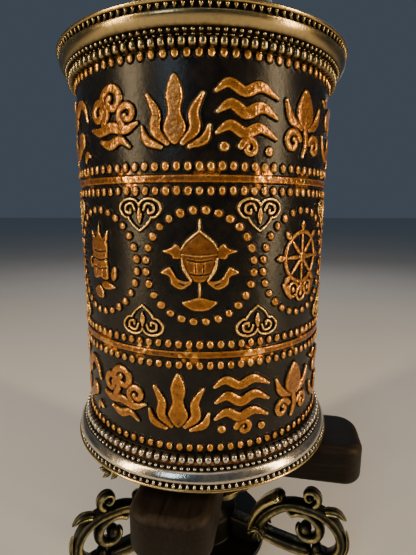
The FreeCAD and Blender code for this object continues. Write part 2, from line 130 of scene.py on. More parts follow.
def soften(profile, reach=0.25):
    """Round every inner corner of an open profile with a short curve."""
    profile = [np.array(point, float) for point in profile]
    result = [profile[0]]
    for before, corner, after in zip(profile, profile[1:], profile[2:]):
        back = before - corner
        ahead = after - corner
        cut_back = min(reach, np.linalg.norm(back) * 0.45)
        cut_ahead = min(reach, np.linalg.norm(ahead) * 0.45)
        start = corner + back / (np.linalg.norm(back) + 1e-9) * cut_back
        end = corner + ahead / (np.linalg.norm(ahead) + 1e-9) * cut_ahead
        for t in np.arange(CORNER_STEPS + 1) / CORNER_STEPS:
            result.append((1 - t) ** 2 * start + 2 * t * (1 - t) * corner + t * t * end)
    result.append(profile[-1])
    return np.array(result)


def lathe(name, profile, body, material, replaces, segments, wear_and_shade, closed=False, ripple=None):
    """A turned piece from its (radius, height) profile, listed upwards along the outside.

    wear has one value for each row of the profile, or one for each of its points.
    """
    points = lathe_points(profile, segments, ripple)
    faces = grid_faces(len(profile), segments, closed_rows=closed)
    all_wear_and_shade = wear_and_shade if np.ndim(wear_and_shade) == 2 else np.repeat(wear_and_shade, segments)
    new_piece(name, points, faces, body, material, replaces, all_wear_and_shade)


def spline(controls, steps=8, closed=False):
    """A Catmull-Rom curve through control points of any width."""
    points = np.asarray(controls, float)
    if closed:
        padded = np.vstack([points[-1:], points, points[:2]])
    else:
        padded = np.vstack([2 * points[:1] - points[1:2], points, 2 * points[-1:] - points[-2:-1]])
    t = np.arange(steps)[:, None] / steps
    pieces = []
    for p0, p1, p2, p3 in zip(padded, padded[1:], padded[2:], padded[3:]):
        pieces.append(0.5 * (2 * p1 + (p2 - p0) * t + (2 * p0 - 5 * p1 + 4 * p2 - p3) * t ** 2
                             + (3 * p1 - p0 - 3 * p2 + p3) * t ** 3))
    curve = np.vstack(pieces)
    return curve if closed else np.vstack([curve, points[-1:]])


# ---------------------------------------------------------------- signed distances for the relief
def stroke(*controls, steps=6):
    """A brush stroke through (across, level, width) points."""
    path = spline(controls, steps)

    def distance(x, y):
        best = np.full(x.shape, 1e3)
        for (ax, ay, aw), (bx, by, bw) in zip(path, path[1:]):
            dx, dy = bx - ax, by - ay
            t = np.clip(((x - ax) * dx + (y - ay) * dy) / (dx * dx + dy * dy + 1e-9), 0, 1)
            gap = np.hypot(x - ax - t * dx, y - ay - t * dy) - (aw + (bw - aw) * t) / 2
            best = np.minimum(best, gap)
        return best
    return distance


def blob(*controls, steps=5):
    """A filled shape with a smooth outline through (across, level) points."""
    path = spline(controls, steps, closed=True)

    def distance(x, y):
        best = np.full(x.shape, 1e3)
        inside = np.zeros(x.shape, bool)
        for (ax, ay), (bx, by) in zip(path, np.roll(path, -1, 0)):
            dx, dy = bx - ax, by - ay
            t = np.clip(((x - ax) * dx + (y - ay) * dy) / (dx * dx + dy * dy + 1e-9), 0, 1)
            best = np.minimum(best, np.hypot(x - ax - t * dx, y - ay - t * dy))
            crosses = (ay > y) != (by > y)
            inside ^= crosses & (x < ax + (y - ay) * dx / (dy if abs(dy) > 1e-9 else 1e-9))
        return np.where(inside, -best, best)
    return distance


def oval(x0, y0, width, tall, lean=0.0):
    """A filled oval, leaning by an angle in degrees."""
    c, s = math.cos(math.radians(lean)), math.sin(math.radians(lean))

    def distance(x, y):
        u = ((x - x0) * c + (y - y0) * s) / (width / 2)
        v = (-(x - x0) * s + (y - y0) * c) / (tall / 2)
        return (np.hypot(u, v) - 1) * min(width, tall) / 2
    return distance


def ring(x0, y0, radius, width):
    """A round loop of stroke."""
    return lambda x, y: np.abs(np.hypot(x - x0, y - y0) - radius) - width / 2


def bolder(shape, more):
    """The same shape, grown by so many millimetres on every side."""
    return lambda x, y: shape(x, y) - more


def mirrored(shape):
    """A shape together with its left-right mirror image."""
    return lambda x, y: np.minimum(shape(x, y), shape(-x, y))


def joined(*shapes):
    """Several shapes taken as one."""
    return lambda x, y: np.min([shape(x, y) for shape in shapes], 0)


# ---------------------------------------------------------------- the unrolled skin
# CELL is the grid's rough spacing and SKIN_LEVEL its highest level; height is the relief in millimetres,
# copper is how bare the metal is rubbed and halo is how close raised work is, both from 0 to 1
CELL = 0.25
COLUMNS = round(AROUND / CELL)
STEP = AROUND / COLUMNS
SKIN_LEVEL = 59.6
ROWS = round(2 * SKIN_LEVEL / CELL) + 1
LEVELS = np.linspace(-SKIN_LEVEL, SKIN_LEVEL, ROWS)
height = np.zeros((ROWS, COLUMNS))
copper = np.zeros((ROWS, COLUMNS))
halo = np.zeros((ROWS, COLUMNS))


def stamp(shape, across, level, reach, rise, shoulder=0.8):
    """Press one shape out of the skin, up to reach from its spot; a negative rise sinks it instead.

    shoulder is the width of its rounded border.
    """
    columns = np.arange(round((across - reach) / STEP), round((across + reach) / STEP) + 1)
    rows = np.flatnonzero(np.abs(LEVELS - level) <= reach)
    x, y = np.meshgrid(columns * STEP - across, LEVELS[rows] - level)
    gap = shape(x, y)
    inside = np.clip(-gap / shoulder, 0, 1)
    lift = rise * np.sqrt(1 - (1 - inside) ** 2)
    patch = np.ix_(rows, columns % COLUMNS)
    if rise < 0:
        height[patch] = np.where(inside > 0, np.maximum(height[patch] + lift, 0.1), height[patch])
        copper[patch] = np.minimum(copper[patch], 1 - 0.85 * inside)
        return
    height[patch] = np.maximum(height[patch], lift)
    copper[patch] = np.maximum(copper[patch], np.clip(-gap / 0.3 + 0.25, 0, 1))
    halo[patch] = np.maximum(halo[patch], np.exp(-np.clip(gap, 0, None) / 1.1))


def stamp_all(layers, across, level, reach):
    """Press (shape, rise) layers one after another round the same spot."""
    for shape, rise in layers:
        stamp(shape, across, level, reach, rise)


# ---------------------------------------------------------------- flourishes of the two wide bands
# Abstract cloud and flame scrolls: they stand where a wheel carries its script and spell nothing.
def volute(x0, y0, radius, start, turns, width):
    """A spiral stroke that winds inwards from its outer end's angle in degrees; turns may be negative."""
    points = []
    for share in np.arange(9) / 8:
        angle = math.radians(start + turns * 360 * share)
        reach = radius * (1 - 0.72 * share)
        thickness = width * (1 - 0.25 * share)
        points.append((x0 + reach * math.cos(angle), y0 + reach * math.sin(angle), thickness))
    return stroke(*points)


FLOURISH = {
    "cloud": joined(
        volute(-5.0, 2.6, 3.9, -60, 1.25, 2.2),
        volute(0.6, 5.4, 4.2, -150, -1.2, 2.3),
        volute(6.0, 1.2, 3.2, -120, -1.1, 2.0),
        stroke((-8.8, -1.6, 1.0), (-5.0, -2.6, 2.4), (0.0, -1.8, 2.8), (5.2, -2.8, 2.4), (9.2, -1.4, 0.9)),
        stroke((-4.6, -5.4, 1.0), (-0.6, -6.6, 2.6), (3.4, -5.4, 2.2), (6.6, -7.4, 0.8)),
    ),
    "flame": joined(
        blob((0, 10.4), (2.2, 5.6), (1.6, 1.0), (3.0, -3.6), (0, -7.4), (-3.0, -3.6), (-1.6, 1.0),
             (-2.2, 5.6)),
        mirrored(stroke((-2.2, -7.0, 1.4), (-5.4, -3.6, 2.8), (-5.2, 0.8, 2.4), (-7.6, 5.4, 0.9))),
        mirrored(stroke((-4.0, -8.0, 1.2), (-8.0, -6.2, 2.2), (-9.4, -2.6, 0.8))),
    ),
    "ripple": joined(
        stroke((-9.0, 6.2, 0.9), (-5.6, 8.2, 2.4), (-1.2, 6.2, 2.6), (3.4, 7.8, 2.6), (8.8, 5.4, 0.8)),
        stroke((-8.6, 1.0, 0.9), (-5.0, 3.0, 2.6), (-0.8, 0.8, 3.0), (3.8, 2.6, 2.8), (8.8, 0.2, 0.9)),
        stroke((-8.8, -4.4, 0.9), (-5.2, -2.4, 2.6), (-1.0, -4.4, 2.8), (3.4, -2.8, 2.6), (8.6, -5.2, 0.9)),
        volute(0.4, -8.2, 2.6, 170, -1.1, 1.7),
        oval(-6.8, -8.0, 2.4, 2.4),
        oval(6.6, -8.8, 2.4, 2.4),
    ),
    "bud": joined(
        blob((0, 9.6), (3.4, 5.4), (3.6, 1.0), (0, -1.6), (-3.6, 1.0), (-3.4, 5.4)),
        mirrored(stroke((-1.8, -1.4, 1.2), (-6.0, 0.8, 2.6), (-8.2, 5.4, 0.9))),
        stroke((0, -1.6, 1.8), (0.8, -5.0, 2.0), (-0.6, -9.0, 1.2)),
        volute(-5.2, -5.4, 3.2, 20, 1.1, 1.9),
        volute(5.4, -6.0, 3.0, 160, -1.1, 1.9),
    ),
    "comma": joined(
        oval(-3.0, 3.4, 5.2, 5.2),
        stroke((-1.4, 5.2, 3.2), (2.6, 7.4, 2.6), (6.4, 5.6, 2.0), (8.4, 1.6, 0.8)),
        oval(3.0, -3.6, 5.2, 5.2),
        stroke((1.4, -5.4, 3.2), (-2.6, -7.6, 2.6), (-6.4, -5.8, 2.0), (-8.4, -1.8, 0.8)),
        stroke((-9.0, 8.6, 0.9), (-6.6, 8.0, 1.9), (-5.6, 10.0, 0.8)),
        stroke((9.0, -8.8, 0.9), (6.6, -8.2, 1.9), (5.6, -10.2, 0.8)),
    ),
}
FLOURISH_ORDER = ["flame", "ripple", "bud", "comma", "cloud"] * 2 + ["flame", "ripple", "comma", "cloud"]
FLOURISH_START = -8.5
FLOURISH_LEVEL = 42.0


# ---------------------------------------------------------------- emblems of the eight medallions
def vase():
    """A covered vase on a stand, with ribbons and leaves."""
    ribbon = blob((-5.0, 5.4), (-6.9, 6.9), (-8.2, 5.7), (-11.0, 4.5), (-8.4, 3.4), (-7.4, 2.2),
                  (-5.0, 2.6))
    leaf = blob((-11.6, -1.7), (-8.8, 0.2), (-7.5, -1.2), (-6.4, -3.0), (-4.2, -3.9), (-2.0, -3.5),
                (-2.6, -5.2), (-5.4, -6.7), (-8.2, -5.2), (-8.9, -3.0))
    return [
        (blob((-5.4, 5.2), (-3.6, 7.4), (-1.1, 9.2), (0, 10.8), (1.1, 9.2), (3.6, 7.4), (5.4, 5.2),
              (5.2, 2.4), (4.1, -0.6), (2.1, -3.8), (0, -4.5), (-2.1, -3.8), (-4.1, -0.6),
              (-5.2, 2.4)), 0.75),
        (mirrored(ribbon), 0.8),
        (mirrored(leaf), 0.9),
        (mirrored(stroke((-5.0, 2.6, 1.0), (-4.3, -0.7, 1.3), (-2.4, -3.9, 1.0))), 1.15),
        (mirrored(stroke((-5.2, 5.0, 0.9), (-3.6, 7.4, 1.0), (0, 10.4, 1.1))), 1.1),
        (stroke((-4.9, 3.7, 0.8), (0, 3.2, 1.0), (4.9, 3.7, 0.8)), 1.15),
        (stroke((0, 10.0, 1.3), (0, 13.6, 0.6)), 0.8),
        (stroke((0, -4.4, 0.9), (0, -9.4, 1.1)), 0.7),
        (blob((-5.3, -10.4), (-2.6, -9.3), (0, -8.7), (2.6, -9.3), (5.3, -10.3), (2.9, -12.5), (0, -13.1),
              (-2.9, -12.5)), 0.9),
        (stroke((-3.6, 2.1, 0.5), (0, 1.6, 0.6), (3.6, 2.1, 0.5)), -0.5),
        (stroke((-2.7, -1.9, 0.5), (0, -2.3, 0.6), (2.7, -1.9, 0.5)), -0.4),
        (mirrored(stroke((-1.2, 1.2, 0.4), (-1.1, -1.6, 0.4))), -0.5),
        (mirrored(stroke((-6.0, -4.6, 0.5), (-4.4, -5.2, 0.7))), -0.3),
    ]


def wheel():
    """A wheel with spokes."""
    hub_level = 1.6
    layers = [(ring(0, hub_level, 7.9, 1.7), 0.9), (oval(0, hub_level, 3.8, 3.8), 1.1)]
    for number in range(8):
        angle = number * TAU / 8
        out = np.array([math.sin(angle), math.cos(angle)])
        spots = [out * reach + (0, hub_level) for reach in (1.0, 3.6, 7.4, 8.4, 9.8, 11.4)]
        layers.append((stroke((*spots[0], 1.3), (*spots[1], 1.8), (*spots[2], 1.1)), 0.85))
        layers.append((stroke((*spots[3], 1.6), (*spots[4], 2.4), (*spots[5], 0.7)), 0.9))
    petal = joined(ring(-3.9, -8.6, 2.2, 1.4), oval(-3.9, -8.6, 1.8, 2.4, 20))
    layers.append((mirrored(petal), 0.9))
    layers.append((joined(ring(0, -10.0, 2.3, 1.4), oval(0, -10.0, 1.9, 2.6)), 0.95))
    leaf = blob((-5.6, -6.8), (-9.0, -6.2), (-7.4, -9.8), (-4.6, -11.8), (-4.8, -8.8))
    layers.append((mirrored(leaf), 0.8))
    return layers


def banner():
    """A draped banner with streamers."""
    return [
        (blob((-4.2, 6.6), (-4.8, 10.0), (-2.2, 7.6), (-0.8, 9.4), (0, 13.0), (0.9, 9.4), (2.2, 7.6),
              (5.0, 10.2), (4.2, 6.0), (0, 5.4)), 0.85),
        (blob((-4.2, 7.0), (4.2, 6.6), (4.4, 1.6), (3.8, 0.8), (4.4, 0.0), (4.6, -5.0), (2.4, -6.0),
              (0, -5.4), (-2.6, -6.0), (-4.6, -5.0), (-4.4, 0.0), (-3.8, 0.8), (-4.4, 1.6)), 0.9),
        (stroke((-4.4, -1.2, 1.0), (-6.6, -2.2, 1.4), (-6.8, 0.4, 1.2), (-5.8, 0.9, 0.8)), 0.7),
        (oval(7.2, -3.4, 2.9, 5.2, -14), 0.95),
        (blob((0.6, -6.8), (3.6, -6.0), (7.8, -7.6), (5.2, -8.8), (1.8, -8.9)), 0.85),
        (blob((-3.8, -9.0), (-0.6, -7.8), (1.6, -9.8), (1.2, -12.0), (-1.8, -12.2), (-3.6, -10.8)), 0.85),
        (stroke((-3.9, 3.6, 0.5), (0, 3.1, 0.6), (3.9, 3.6, 0.5)), -0.4),
        (stroke((-3.8, 1.0, 0.6), (0, 0.4, 0.7), (3.8, 1.0, 0.6)), -0.5),
        (stroke((-3.9, -1.8, 0.5), (0, -2.4, 0.6), (3.9, -1.8, 0.5)), -0.4),
        (mirrored(stroke((-1.9, -0.6, 0.4), (-1.7, -4.4, 0.5))), -0.35),
    ]


def knot():
    """Crossing ribbons looped at every corner."""
    layers = []
    for offset in (-4.4, 0.0, 4.4):
        for lean in (1, -1):
            run = [(offset + lean * t * 6.6, t * 9.6 - lean * offset * 0.9, 1.25)
                   for t in (-1, -0.3, 0.3, 1)]
            layers.append((stroke(*run), 0.8))
    for up in (1, -1):
        loop = stroke((-2.2, 8.6 * up, 1.2), (-4.6, 11.2 * up, 1.3), (-7.4, 9.2 * up, 1.2),
                      (-6.6, 6.2 * up, 1.1))
        layers.append((mirrored(loop), 0.8))
    layers.append((ring(0, 0, 4.6, 1.1), 1.0))
    return layers


def conch():
    """A conch shell."""
    return [
        (blob((-1.0, 10.6), (4.4, 9.0), (7.6, 4.4), (7.0, -1.6), (3.4, -6.4), (-1.8, -10.8), (-3.2, -7.2),
              (-6.6, -2.4), (-7.2, 3.2), (-5.0, 8.2)), 0.9),
        (stroke((-2.4, 9.2, 0.7), (2.6, 7.4, 0.8), (4.6, 3.6, 0.8), (1.6, 1.2, 0.8), (-0.6, 3.4, 0.7),
                (0.8, 5.2, 0.6)), -0.45),
        (stroke((-5.4, 4.6, 0.6), (-2.6, 1.0, 0.8), (0.6, -3.0, 0.8), (3.6, -4.8, 0.6)), -0.4),
        (stroke((-5.8, 0.6, 0.5), (-3.4, -2.8, 0.7), (-1.2, -6.6, 0.5)), -0.35),
        (mirrored(stroke((-5.0, -9.0, 1.0), (-8.0, -7.4, 1.8), (-10.4, -8.8, 0.8))), 0.75),
    ]


def lotus():
    """A lotus flower over its leaves."""
    layers = [(blob((0, 11.0), (2.6, 6.6), (2.4, 0.0), (0, -3.0), (-2.4, 0.0), (-2.6, 6.6)), 1.0)]
    for lean, tall in ((2.9, 8.8), (6.0, 6.2), (9.0, 2.8)):
        petal = blob((-lean - 1.4, tall), (-lean + 1.0, tall - 2.4), (-1.0, -2.8), (-lean * 0.6, -3.6),
                     (-lean - 1.6, tall - 5.4))
        layers.append((mirrored(petal), 1.05 - lean * 0.03))
        layers.append((mirrored(stroke((-lean - 0.6, tall - 1.4, 0.4), (-lean * 0.7, 0.4, 0.5))), -0.3))
    layers.append((stroke((0, -3.6, 1.2), (0.8, -7.4, 1.2), (-0.4, -11.4, 1.0)), 0.8))
    layers.append((mirrored(blob((-0.6, -8.0), (-4.6, -6.2), (-8.0, -8.0), (-4.6, -9.8))), 0.85))
    return layers


def fishes():
    """Two fishes standing side by side."""
    fish = blob((-2.6, 10.8), (-0.4, 8.0), (-0.8, 3.0), (-2.6, -2.0), (-4.4, -6.2), (-2.2, -9.4),
                (-6.0, -8.6), (-8.6, -10.6), (-7.2, -6.6), (-7.4, -2.0), (-7.2, 3.8), (-5.2, 8.6))
    return [
        (mirrored(fish), 0.9),
        (mirrored(oval(-2.9, 8.0, 0.9, 0.9)), -0.4),
        (mirrored(stroke((-5.6, 5.6, 0.5), (-3.4, 4.6, 0.6), (-1.4, 5.4, 0.5))), -0.35),
        (mirrored(stroke((-6.6, 2.0, 0.4), (-4.4, 1.0, 0.5), (-2.0, 1.8, 0.4))), -0.3),
        (mirrored(stroke((-6.8, -1.4, 0.4), (-5.0, -2.2, 0.5), (-3.2, -1.6, 0.4))), -0.3),
        (stroke((-4.0, -11.8, 0.8), (0, -12.8, 1.6), (4.0, -11.8, 0.8)), 0.8),
    ]


def parasol():
    """A parasol with ribbons."""
    return [
        (blob((0, 11.6), (3.4, 10.0), (7.8, 5.6), (9.2, 2.2), (4.6, 3.0), (0, 2.0), (-4.6, 3.0),
              (-9.2, 2.2), (-7.8, 5.6), (-3.4, 10.0)), 0.95),
        (stroke((0, 12.0, 1.4), (0, 13.8, 0.6)), 0.8),
        (stroke((0, 2.0, 1.1), (0, -11.6, 1.0)), 0.8),
        (mirrored(stroke((-0.4, 10.4, 0.4), (-2.6, 6.6, 0.5), (-3.2, 3.4, 0.5))), -0.35),
        (mirrored(stroke((-2.0, 10.0, 0.4), (-5.6, 6.2, 0.5), (-6.8, 3.6, 0.5))), -0.35),
        (mirrored(stroke((-8.6, 1.6, 1.0), (-7.4, -2.2, 1.6), (-9.0, -5.6, 0.7))), 0.75),
        (mirrored(stroke((-4.6, 2.0, 1.0), (-4.2, -2.4, 1.5), (-5.2, -5.4, 0.7))), 0.75),
        (mirrored(blob((-0.4, -9.0), (-3.6, -8.2), (-6.2, -10.4), (-2.6, -11.6))), 0.85),
    ]


def ruyi():
    """The cloud-head ornament between medallions, pointing down."""
    half = joined(
        stroke((0.1, 2.6, 0.9), (-1.2, 4.0, 1.0), (-3.6, 4.4, 1.1), (-6.0, 3.4, 1.1), (-6.7, 1.4, 1.1),
               (-5.2, -0.6, 1.0), (-3.6, -0.9, 0.9)),
        stroke((-3.9, -0.7, 0.9), (-2.4, -2.8, 0.9), (0.0, -4.7, 0.9)),
        stroke((-1.4, 1.2, 1.0), (-2.4, 3.0, 1.1), (-4.4, 2.6, 1.1), (-4.6, 0.9, 1.1), (-3.2, 0.4, 1.3),
               (-2.9, 1.4, 1.0)),
    )
    drop = blob((0, 2.3), (0.9, 0.4), (0.8, -1.3), (0, -2.9), (-0.8, -1.3), (-0.9, 0.4))
    return joined(mirrored(half), drop)


# levels count from the drum's middle; sizes are (across, tall); reaches bound a motif's own square
EMBLEMS = [vase, wheel, knot, conch, lotus, fishes, parasol, banner]
EMBLEM_REACH = 14.5
MEDALLION_LEVEL = 0.9
MEDALLION_RADIUS = 16.2
MEDALLION_BEADS = 28
MEDALLION_BEAD = 2.55
RUYI_LEVEL = 15.8
RUYI_REACH = 8.0
BAND_LEVEL = 25.6
BAND_HALF = 1.15
BAND_SPAN = 4.0
BAND_BEADS = 90
BAND_BEAD_GAP = 3.3
BAND_BEAD_SIZE = (2.35, 2.9)
OVAL_LEVELS = (57.4, -56.1)
OVALS = 88
OVAL_SIZE = (2.3, 2.9)
FLOURISH_REACH = 13.5
FLOURISH_BOLDER = 0.3


def flat_band(x, y):
    """A plain raised strip round the drum."""
    return np.abs(y) - BAND_HALF


def draw_bands(random, sign):
    """Everything above the medallions (sign 1) or below them (sign -1)."""
    for start in np.arange(0, AROUND, 2 * BAND_SPAN - STEP):
        stamp(flat_band, start, sign * BAND_LEVEL, BAND_SPAN, 0.55, 0.35)
    for number in range(BAND_BEADS):
        across = number * AROUND / BAND_BEADS
        for side in (1, -1):
            lean = random.uniform(-8, 8)
            wide = BAND_BEAD_SIZE[0] + random.uniform(-0.15, 0.15)
            tall = BAND_BEAD_SIZE[1] + random.uniform(-0.2, 0.2)
            level = sign * BAND_LEVEL + side * (BAND_BEAD_GAP + random.uniform(-0.08, 0.08))
            stamp(oval(0, 0, wide, tall, lean), across, level, 2.2, 0.9, 1.0)
    for number in range(OVALS):
        across = number * AROUND / OVALS
        level = OVAL_LEVELS[0] if sign > 0 else OVAL_LEVELS[1]
        stamp(oval(0, 0, *OVAL_SIZE, random.uniform(-9, 9)), across, level, 2.4, 0.9, 0.9)
    for number, kind in enumerate(FLOURISH_ORDER):
        across = math.radians(FLOURISH_START + number * 360 / len(FLOURISH_ORDER)) * DRUM_R
        motif = bolder(FLOURISH[kind], FLOURISH_BOLDER)
        stamp(motif, across, sign * FLOURISH_LEVEL, FLOURISH_REACH, 1.0, 1.0)


def draw_medallion(random, emblem, across):
    """One emblem in its ring of beads."""
    stamp_all(emblem(), across, MEDALLION_LEVEL, EMBLEM_REACH)
    for bead in range(MEDALLION_BEADS):
        angle = (bead + 0.5) / MEDALLION_BEADS * TAU
        size = MEDALLION_BEAD + random.uniform(-0.2, 0.2)
        place = across + MEDALLION_RADIUS * math.sin(angle)
        level = MEDALLION_LEVEL + MEDALLION_RADIUS * math.cos(angle)
        stamp(oval(0, 0, size, size * 1.12, random.uniform(0, 90)), place, level, 2.0, 0.95, 1.2)


def draw_skin(random):
    """Press the whole pattern out of the skin."""
    for sign in (1, -1):
        draw_bands(random, sign)
    cloud_head = ruyi()
    for number, emblem in enumerate(EMBLEMS):
        across = number * AROUND / len(EMBLEMS)
        draw_medallion(random, emblem, across)
        between = across + AROUND / len(EMBLEMS) / 2
        stamp(cloud_head, between, RUYI_LEVEL, RUYI_REACH, 0.8, 0.5)
        stamp(lambda x, y: cloud_head(x, -y), between, -RUYI_LEVEL, RUYI_REACH, 0.8, 0.5)


def soft_waves(random, count, shortest, longest):
    """Smooth unevenness over the skin, as beaten sheet has: a sum of waves that close round the drum.

    shortest and longest bound the waves' lengths round the drum.
    """
    across = np.arange(COLUMNS) * STEP
    total = np.zeros((ROWS, COLUMNS))
    for _ in range(count):
        turns = random.integers(round(AROUND / longest), round(AROUND / shortest)) * random.choice([-1, 1])
        rise = random.uniform(-TAU / shortest, TAU / shortest)
        phase = random.uniform(0, TAU)
        total += np.sin(turns * across[None, :] / DRUM_R + rise * LEVELS[:, None] + phase)
    return total / math.sqrt(count)


# every random choice in this script comes from this one generator, in the order in which it is asked
random = np.random.default_rng(7)
draw_skin(random)
uneven = soft_waves(random, 14, 9.0, 40.0)
grain = soft_waves(random, 24, 2.2, 6.0)
surface = height + 0.02 * uneven + 0.02 * grain * halo
# copper shows through the patina in patches along the two flat bands and between their beads
rubbing = soft_waves(random, 10, 12.0, 60.0) + 0.5 * grain
SMEAR_WIDTH = 3.2
near_bands = np.exp(-((np.abs(LEVELS) - BAND_LEVEL) / SMEAR_WIDTH) ** 4)[:, None]
smears = np.clip(1.5 * (rubbing - 0.45), 0, 1) * near_bands


# ---------------------------------------------------------------- wiring materials
class Finish:
    """One procedural material while it is being wired up. Lengths given to it are millimetres."""

    def __init__(self, name, **settings):
        self.material = bpy.data.materials.new(name)
        self.material.use_nodes = True
        self.tree = self.material.node_tree
        self.shader = self.tree.nodes["Principled BSDF"]
        self.place = self.node("ShaderNodeTexCoord").outputs["Object"]
        self.set(**settings)

    def node(self, kind, **settings):
        made = self.tree.nodes.new(kind)
        for name, setting in settings.items():
            setattr(made, name, setting)
        return made

    def link(self, source, target):
        """Join a socket to a target, or write a plain value into it."""
        if hasattr(source, "is_output"):
            self.tree.links.new(source, target)
        else:
            target.default_value = source

    def math(self, operation, first, second, clamp=False):
        """Arithmetic on two sockets or plain values."""
        made = self.node("ShaderNodeMath", operation=operation, use_clamp=clamp)
        self.link(first, made.inputs[0])
        self.link(second, made.inputs[1])
        return made.outputs[0]

    def blend(self, factor, low, high):
        """low where factor is 0, high where it is 1."""
        made = self.node("ShaderNodeMapRange", clamp=True)
        self.link(factor, made.inputs["Value"])
        self.link(low, made.inputs["To Min"])
        self.link(high, made.inputs["To Max"])
        return made.outputs[0]

    def stretch(self, scale, turn=0.0):
        """Object coordinates turned about Z (radians), then scaled."""
        turned = self.node("ShaderNodeMapping")
        self.link(self.place, turned.inputs["Vector"])
        turned.inputs["Rotation"].default_value = (0, 0, turn)
        scaled = self.node("ShaderNodeVectorMath", operation="MULTIPLY")
        self.link(turned.outputs[0], scaled.inputs[0])
        scaled.inputs[1].default_value = scale
        return scaled.outputs[0]

    def noise(self, size, detail=3.0, rough=0.55, place=None):
        """Cloudy noise from 0 to 1 whose features are about size mm wide."""
        made = self.node("ShaderNodeTexNoise")
        self.link(place or self.place, made.inputs["Vector"])
        made.inputs["Scale"].default_value = 1 / (size * MM)
        made.inputs["Detail"].default_value = detail
        made.inputs["Roughness"].default_value = rough
        return made.outputs["Fac"]

    def attribute(self, name):
        return self.node("ShaderNodeAttribute", attribute_name=name).outputs["Fac"]

    def ramp(self, factor, *stops):
        """A colour ramp through (position, (red, green, blue)) stops."""
        made = self.node("ShaderNodeValToRGB")
        self.link(factor, made.inputs[0])
        elements = made.color_ramp.elements
        while len(elements) < len(stops):
            elements.new(0.5)
        for element, (position, colour) in zip(elements, stops):
            element.position = position
            element.color = (*colour, 1)
        return made.outputs[0]

    def mix(self, factor, low, high):
        """Two colours mixed; each is a socket or (red, green, blue)."""
        made = self.node("ShaderNodeMix", data_type="RGBA")
        self.link(factor, made.inputs[0])
        for colour, target in ((low, made.inputs[6]), (high, made.inputs[7])):
            self.link(colour if hasattr(colour, "is_output") else (*colour, 1), target)
        return made.outputs[2]

    def bump(self, height, depth):
        """Surface unevenness of about depth mm."""
        made = self.node("ShaderNodeBump")
        made.inputs["Distance"].default_value = depth * MM
        made.inputs["Strength"].default_value = 1.0
        self.link(height, made.inputs["Height"])
        self.link(made.outputs[0], self.shader.inputs["Normal"])
        return self

    def set(self, **sockets):
        """Join the shader's sockets, named in small letters with underscores."""
        for socket, source in sockets.items():
            self.link(source, self.shader.inputs[socket.replace("_", " ").title()])


def aged_metal(name, deep, tarnish, bright, rough=(0.5, 0.22), clean=0.5, spots=1.5, pitting=0.05):
    """Cast or stamped metal: dark in the hollows, as tarnish and as painted shade, bright where it is
    rubbed.

    The mesh's wear attribute (0 in hollows, 1 on crests) drives it, with patchy noise over it.
    """
    finish = Finish(name)
    patches = finish.noise(spots * 4, 4)
    fine = finish.noise(spots, 3)
    mottle = finish.math("ADD", finish.math("MULTIPLY", patches, 0.6), finish.math("MULTIPLY", fine, 0.4))
    # hollows and sides that face other parts are painted near black, partly tarnish and partly painted
    # shade; crests are rubbed bright
    wear_and_shade = finish.math("ADD", finish.attribute("wear_and_shade"), finish.math("MULTIPLY", mottle, 0.9))
    amount = finish.math("ADD", wear_and_shade, clean - 0.95, clamp=True)
    colour = finish.ramp(amount, (0.0, deep), (0.42, tarnish), (0.85, bright), (1.0, bright))
    finish.set(base_color=colour, metallic=finish.blend(amount, 0.75, 1.0),
               roughness=finish.blend(amount, *rough))
    return finish.bump(finish.noise(spots * 0.5, 4), pitting).material


def plain_metal(name, dark, light):
    """Turned or rolled metal of one even tone, finely scratched lengthways."""
    finish = Finish(name, metallic=1.0)
    mottle = finish.noise(3.0, 4)
    scratches = finish.noise(1.0, 2, place=finish.stretch((4, 4, 0.25)))
    finish.set(base_color=finish.mix(mottle, dark, light),
               roughness=finish.blend(scratches, 0.25, 0.5))
    return finish.bump(scratches, 0.03).material


def drum_copper():
    """Black patina in the ground of the drum's sheet, copper shining through on the raised pattern, painted
    brightest on the crests as a highlight and darker towards the relief's edges as shade.
    """
    finish = Finish("drum_copper")
    finish.shader.inputs["Specular IOR Level"].default_value = 0.2
    relief = finish.attribute("relief")
    crest = finish.attribute("crest")
    fine = finish.noise(0.8, 4, 0.65)
    patches = finish.noise(6.0, 3)
    rub_and_shade = finish.math("ADD", finish.math("MULTIPLY", relief, 1.35), finish.math("MULTIPLY", crest, 0.7))
    pitted = finish.math("SUBTRACT", rub_and_shade, finish.math("MULTIPLY", fine, 2.3))
    shown = finish.math("ADD", finish.math("MULTIPLY", patches, 0.6), pitted)
    copper_amount = finish.math("ADD", shown, -0.2, clamp=True)
    speck = finish.math("GREATER_THAN", finish.noise(1.1, 5, 0.7), 0.66)
    stray = finish.math("MULTIPLY", speck, finish.math("MULTIPLY", finish.attribute("close"), 0.3))
    smear = finish.math("MULTIPLY", finish.attribute("smear"), finish.math("ADD", fine, 0.6))
    amount = finish.math("MAXIMUM", copper_amount, finish.math("MAXIMUM", stray, smear))
    ground = finish.ramp(finish.noise(4.0, 4), (0.3, (0.0022, 0.0026, 0.0032)),
                         (0.75, (0.010, 0.008, 0.006)))
    # the copper's colour climbs with the crests: a painted highlight on the crests and painted shade
    # towards the relief's edges, a little brighter in the rubbed smears
    crest_highlight_and_smear = finish.math("ADD", crest, finish.math("MULTIPLY", finish.attribute("smear"), 0.35))
    tone = finish.math("ADD", crest_highlight_and_smear, finish.math("MULTIPLY", finish.noise(1.6, 4), 0.5))
    metal = finish.ramp(tone, (0.2, (0.06, 0.018, 0.005)), (0.45, (0.37, 0.135, 0.026)),
                        (0.8, (0.76, 0.33, 0.065)), (1.0, (1.0, 0.66, 0.20)))
    dents = finish.math("MULTIPLY", finish.noise(2.2, 3), relief)
    uneven = finish.math("ADD", finish.math("MULTIPLY", finish.noise(0.5, 3), 0.12), dents)
    ground_gloss = finish.blend(finish.noise(3.0, 3), 0.2, 0.32)
    finish.set(base_color=finish.mix(amount, ground, metal), metallic=finish.blend(amount, 0.0, 1.0),
               roughness=finish.blend(amount, ground_gloss, 0.21))
    return finish.bump(uneven, 0.5).material


